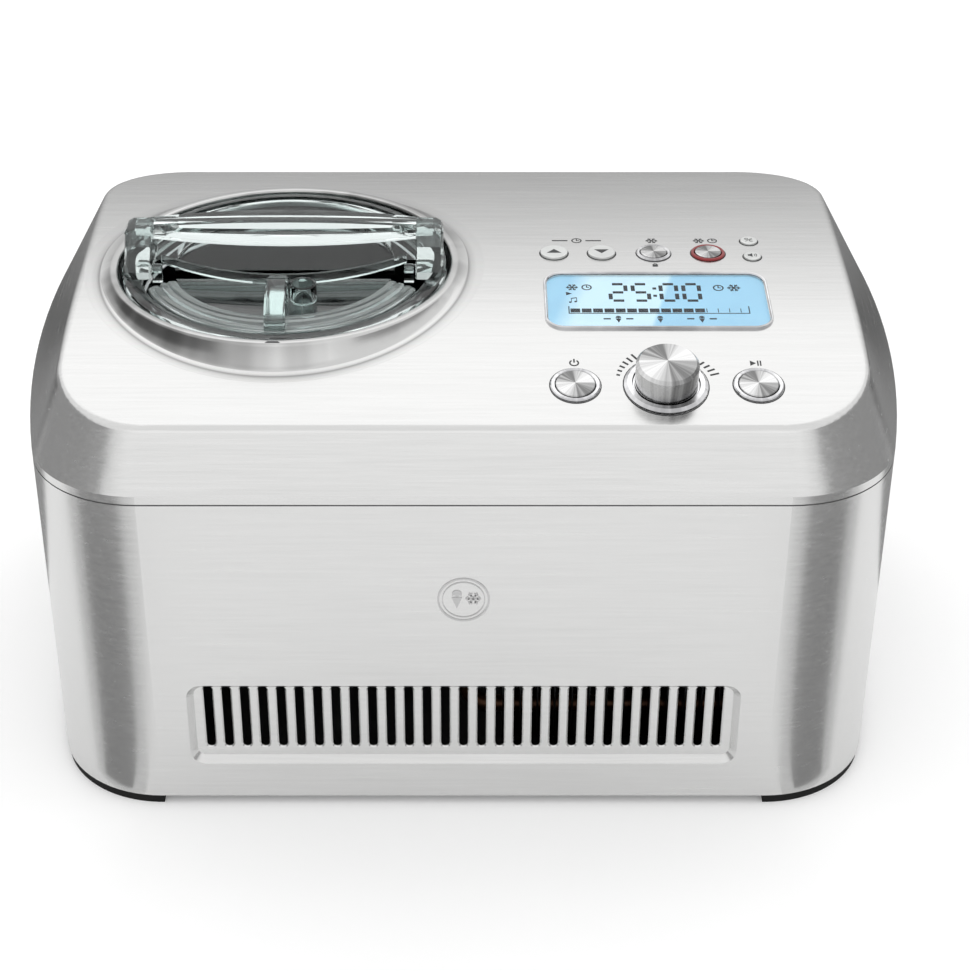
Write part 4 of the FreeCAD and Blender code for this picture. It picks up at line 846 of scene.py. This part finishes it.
def cover_marks():
    """Symbols beside the controls, in place of words, and painted shade circles round the rings."""
    power = middle("power_button").x / MM
    start = middle("start_button").x / MM
    dial = middle("dial_skirt").x / MM
    up = middle("up_button").x / MM
    down = middle("down_button").x / MM
    pre = middle("pre_cool_button").x / MM
    keep = middle("keep_cool_button").x / MM
    shapes = moved(standby(), power, LOWER_ROW + 14.6, 2.3)
    shapes += moved(play_pause(), start, LOWER_ROW + 14.4, 2.1)
    timer = (up + down) / 2
    shapes += moved(clock(), timer, UPPER_ROW + 13.4, 2.5)
    for side in (-1, 1):
        near, far = sorted((timer + side * 4.2, timer + side * 11.5))
        shapes.append(box_mark(near, UPPER_ROW + 12.9, far, UPPER_ROW + 13.9))
    shapes += moved(snowflake(), pre, UPPER_ROW + 13.2, 2.8)
    shapes += moved(snowflake(), keep - 3.2, UPPER_ROW + 13.2, 2.7)
    shapes += moved(clock(), keep + 3.2, UPPER_ROW + 13.2, 2.4)
    shapes += moved(padlock(), pre, UPPER_ROW - 11.0, 1.8)
    for side in (-1, 1):
        for index in range(6):
            turn = 90 + side * (34 + index * 7.5)
            long = 1.6 + 0.5 * (index if side < 0 else 5 - index)
            cos, sin = math.cos(math.radians(turn)), math.sin(math.radians(turn))
            far = TICK_START + long
            shapes.append(stroke(dial + TICK_START * cos, LOWER_ROW + TICK_START * sin,
                                 dial + far * cos, LOWER_ROW + far * sin, 1.0))
    # painted shade: dark circles in the gaps round the rings and the dial skirt
    for name, reach in GAP_SHADE_RADII.items():
        shapes += circle_line(middle(name).x / MM, ROWS.get(name, LOWER_ROW), reach, 0.5)
    marks("cover_symbols_and_gap_shade", shapes, on_cover, 0.05, PRINT, "root")


def cap_marks(name, symbol, scale):
    """A symbol on a button's cap, which moves with the button."""
    seat = plateau_frame(CAP_X[name] * MM, ROWS[name] * MM)
    normal = seat.to_3x3() @ Vector((0, 0, 1))
    rise = max((vertex.co - seat.translation).dot(normal)
               for vertex in nodes[name].data.vertices)

    def spot(u, v, height):
        return seat @ Vector((u * MM, v * MM, rise + height * MM))

    marks(name + "_symbol", moved(symbol, 0, 0, scale), spot, 0.04, PRINT, name)


# ---------------------------------------------------------------- display

WINDOW_X, WINDOW_Y = 86.65 * MM, -35.75 * MM
BEZEL_SIZES = (50.65, 22.85, 9.0)  # half width, half depth, corner radius
FACE_HEIGHT = -1.28
BAR_CELLS, LIT_CELLS, CELL_PITCH = 16, 12, 5.05
SEGMENTS = {"0": "abcdef", "2": "abged", "5": "afgcd"}


def digit(figure, x, y, wide, high, thick):
    """Seven-segment figure; gives its lit bars."""
    mid, slack = high / 2, thick * 0.62
    bars = {
        "a": stroke(x + slack, y + high, x + wide - slack, y + high, thick),
        "g": stroke(x + slack, y + mid, x + wide - slack, y + mid, thick),
        "d": stroke(x + slack, y, x + wide - slack, y, thick),
        "f": stroke(x, y + mid + slack, x, y + high - slack, thick),
        "e": stroke(x, y + slack, x, y + mid - slack, thick),
        "b": stroke(x + wide, y + mid + slack, x + wide, y + high - slack, thick),
        "c": stroke(x + wide, y + slack, x + wide, y + mid - slack, thick),
    }
    return [bars[key] for key in SEGMENTS[figure]]


def rounded_box(half_x, half_y, radius, steps=8):
    """Anticlockwise outline of a box with round corners."""
    outline = []
    for side_x, side_y, start in ((1, -1, -90), (1, 1, 0), (-1, 1, 90), (-1, -1, 180)):
        for step in range(steps + 1):
            turn = math.radians(start + 90 * step / steps)
            outline.append((side_x * (half_x - radius) + radius * math.cos(turn),
                            side_y * (half_y - radius) + radius * math.sin(turn)))
    return outline


def window_loop(seat, inset, height):
    """The display's outline, drawn in by inset, at a height over the cover."""
    outline = rounded_box(*(size - inset for size in BEZEL_SIZES))
    return [seat @ Vector((u * MM, v * MM, height * MM)) for u, v in outline]


def display_glass():
    """Slim bezel, the pane inside it and the lit face below."""
    seat = plateau_frame(WINDOW_X, WINDOW_Y)
    section = [(0.0, 0.0), (0.1, 0.6), (0.45, 0.9), (0.9, 0.85), (1.3, 0.35), (1.4, -1.6),
               (0.6, -1.6)]
    around = [window_loop(seat, inset, height) for inset, height in section]
    points, faces = skin(around, True)
    rim = finish_piece("bezel_rim", mesh_of("bezel_rim", points, faces),
                       MATERIALS["bright_trim"], "root", 35.0)
    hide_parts("display_bezel")
    pane_section = [(1.5, -0.9), (1.5, 0.1), (1.9, 0.3)]
    points, faces = skin([window_loop(seat, inset, height) for inset, height in pane_section])
    pane = finish_piece("display_pane", mesh_of("display_pane", points, faces),
                        MATERIALS["display_glass"], "root", 25.0)
    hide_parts("display_window")
    points, faces = skin([window_loop(seat, 1.6, height) for height in (-4.0, -1.3)])
    face = finish_piece("display_face", mesh_of("display_face", points, faces),
                        MATERIALS["lcd_face"], "root", 30.0)
    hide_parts("display_module")


def display():
    seat = plateau_frame(WINDOW_X, WINDOW_Y)

    def spot(u, v, height):
        return seat @ Vector((u * MM, v * MM, (height + FACE_HEIGHT) * MM))

    dark = []
    wide, high = 7.0, 13.6
    for figure, x in (("2", -20.5), ("5", -10.2), ("0", 2.4), ("0", 12.7)):
        dark += digit(figure, x, 1.0, wide, high, 1.8)
    for y in (5.0, 11.0):
        dark.append(box_mark(-1.3, y - 0.8, 0.4, y + 0.8))
    for index in range(BAR_CELLS):
        x = -39.0 + index * CELL_PITCH
        dark.append(box_mark(x, -8.6, x + (4.3 if index < LIT_CELLS else 0.35), -5.5))
    dark.append(box_mark(-39.6, -9.6, 40.4, -9.1))
    for x in (-39.9, 40.4):
        dark.append(box_mark(x, -9.6, x + 0.5, -3.6))
    dark += moved(note(), -37.5, 1.2, 2.4)
    dark += moved(clock(), -31.0, 12.0, 2.4)
    dark += moved(snowflake(), -37.6, 12.0, 2.7)
    dark.append([(-40.5, 8.2), (-37.9, 6.8), (-40.5, 5.4)])
    dark += moved(snowflake(), 35.5, 11.5, 3.0)
    dark += moved(clock(), 28.5, 11.5, 2.5)
    for x in (-18.0, 0.5, 19.0):
        dark += moved(cone(), x, -13.8, 3.0)
    for side in (-1, 1):
        for x in (-18.0, 19.0):
            dark.append(box_mark(x + side * 5 - 1.6, -14.2, x + side * 5 + 1.6, -13.2))
    marks("display_segments", dark, spot, 0.05, SEGMENT, "root")


# ---------------------------------------------------------------- front emblem

BADGE_HEIGHT = 115


def emblem():
    """Small cone and snowflake badge on the front."""
    front = Vector(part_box("body_wrap")[0]).y
    shapes = circle_line(0, 0, 11.0, 0.8) + circle_line(0, 0, 9.2, 0.35)
    shapes += moved(cone(), -2.9, 0.8, 5.4)
    shapes += moved(snowflake(), 4.2, 0.6, 3.4)

    def spot(u, v, height):
        return Vector((u * MM, front - height * MM, (BADGE_HEIGHT + v) * MM))

    marks("front_badge", shapes, spot, 0.35, BADGE, "root")


# ---------------------------------------------------------------- studio

def floor():
    mesh = mesh_of("studio_floor", [(-6, -6, 0), (6, -6, 0), (6, 6, 0), (-6, 6, 0)],
                   [(0, 1, 2, 3)])
    thing = bpy.data.objects.new("studio_floor", mesh)
    bpy.context.collection.objects.link(thing)
    shader = Shader("pale_floor", Roughness=0.9)
    cloud = shader.stretched_noise((3, 3, 3), detail=2.0)
    shader.tint(cloud, "Fac", (0.90, 0.90, 0.90), (0.92, 0.92, 0.92))
    shader.principled.inputs["Emission Color"].default_value = (1, 1, 1, 1)
    shader.principled.inputs["Emission Strength"].default_value = 0.12
    mesh.materials.append(shader.material)


def card(name, corners, low, high):
    """A studio card that only reflections see, brighter towards its top edge."""
    mesh = mesh_of(name, corners, [(0, 1, 2, 3)])
    thing = bpy.data.objects.new(name, mesh)
    bpy.context.collection.objects.link(thing)
    shader = Shader(name + "_paint")
    shader.principled.inputs["Base Color"].default_value = (0, 0, 0, 1)
    shader.principled.inputs["Emission Color"].default_value = (1, 1, 1, 1)
    place = shader.add("ShaderNodeTexCoord")
    split = shader.add("ShaderNodeSeparateXYZ")
    spread = shader.add("ShaderNodeMapRange", To_Min=low, To_Max=high)
    shader.link(place, "Generated", split, "Vector")
    shader.link(split, "Z", spread, "Value")
    shader.link(spread, "Result", shader.principled, "Emission Strength")
    mesh.materials.append(shader.material)
    thing.visible_camera = False
    thing.visible_diffuse = False
    thing.visible_shadow = False
    thing.visible_transmission = False


CORNER_X, CORNER_Y = 150.6 * MM, -81.3 * MM


def floor_spot(side, turn, reach, lift):
    """A place just over the floor, seen from the middle of a front corner's curve."""
    turn = math.radians(turn)
    return Vector((side * (CORNER_X + reach * math.sin(turn)), CORNER_Y - reach * math.cos(turn),
                   lift))


def softbox(name, place, aim, wide, high, power):
    light = bpy.data.lights.new(name, "AREA")
    light.shape = "RECTANGLE"
    light.size, light.size_y = wide, high
    light.energy = power
    thing = bpy.data.objects.new(name, light)
    thing.location = place
    thing.rotation_euler = (Vector(aim) - Vector(place)).to_track_quat("-Z", "Y").to_euler()
    bpy.context.collection.objects.link(thing)


def studio():
    world = bpy.data.worlds.new("studio")
    bpy.context.scene.world = world
    world.use_nodes = True
    background = world.node_tree.nodes["Background"]
    background.inputs["Color"].default_value = (1, 1, 1, 1)
    background.inputs["Strength"].default_value = 1.06
    softbox("overhead", (0, 0.9, 1.7), (0, 0, 0.2), 2.6, 1.2, 4)
    softbox("front_fill", (0.0, -2.2, 1.2), (0, 0, 0.15), 2.4, 1.2, 2)
    card("back_card", [(-1.6, 0.40, 0), (1.6, 0.40, 0), (1.6, 0.40, 0.52), (-1.6, 0.40, 0.52)],
         0.02, 1.15)
    for side in (-1, 1):
        edge = side * 0.8
        card("side_card", [(edge, -0.9, 0), (edge, 0.9, 0), (edge, 0.9, 0.5), (edge, -0.9, 0.5)],
             0.34, 0.34)
        card("rear_floor_card", [(side * 0.19, 0.03, 0.003), (side * 0.75, 0.03, 0.003),
                                 (side * 0.75, 0.399, 0.003), (side * 0.19, 0.399, 0.003)],
             0.28, 0.28)
        for lift, glow, near, far in ((0.003, 0.66, (-3, 36), (12, 80)),
                                      (0.004, 0.26, (5, 28), (23, 66))):
            corners = [floor_spot(side, turn, reach, lift)
                       for turn, reach in ((near[0], 0.052), (far[0], 0.45),
                                           (far[1], 0.45), (near[1], 0.052))]
            card("corner_card", corners, glow, glow)
    floor()


def camera():
    data = bpy.data.cameras.new("camera")
    data.sensor_fit = "AUTO"
    data.sensor_width = 36.0
    data.lens = 80.8
    data.shift_x = 0.0221
    thing = bpy.data.objects.new("camera", data)
    thing.location = (0.0, -0.9046, 0.6622)
    thing.rotation_euler = (math.radians(57.68), 0.0, 0.0)
    bpy.context.collection.objects.link(thing)
    bpy.context.scene.camera = thing
    bpy.context.scene.view_settings.view_transform = "Standard"


# ---------------------------------------------------------------- build

camera()
studio()
collar()
lid()
flap()
cover_marks()
cap_marks("up_button", [[(-1.0, -0.5), (1.0, -0.5), (0, 0.6)]], 3.4)
cap_marks("down_button", [[(-1.0, 0.5), (0, -0.6), (1.0, 0.5)]], 3.4)
cap_marks("temperature_unit_button", degree(), 2.2)
cap_marks("sound_button", speaker(), 2.1)
display_glass()
display()
emblem()
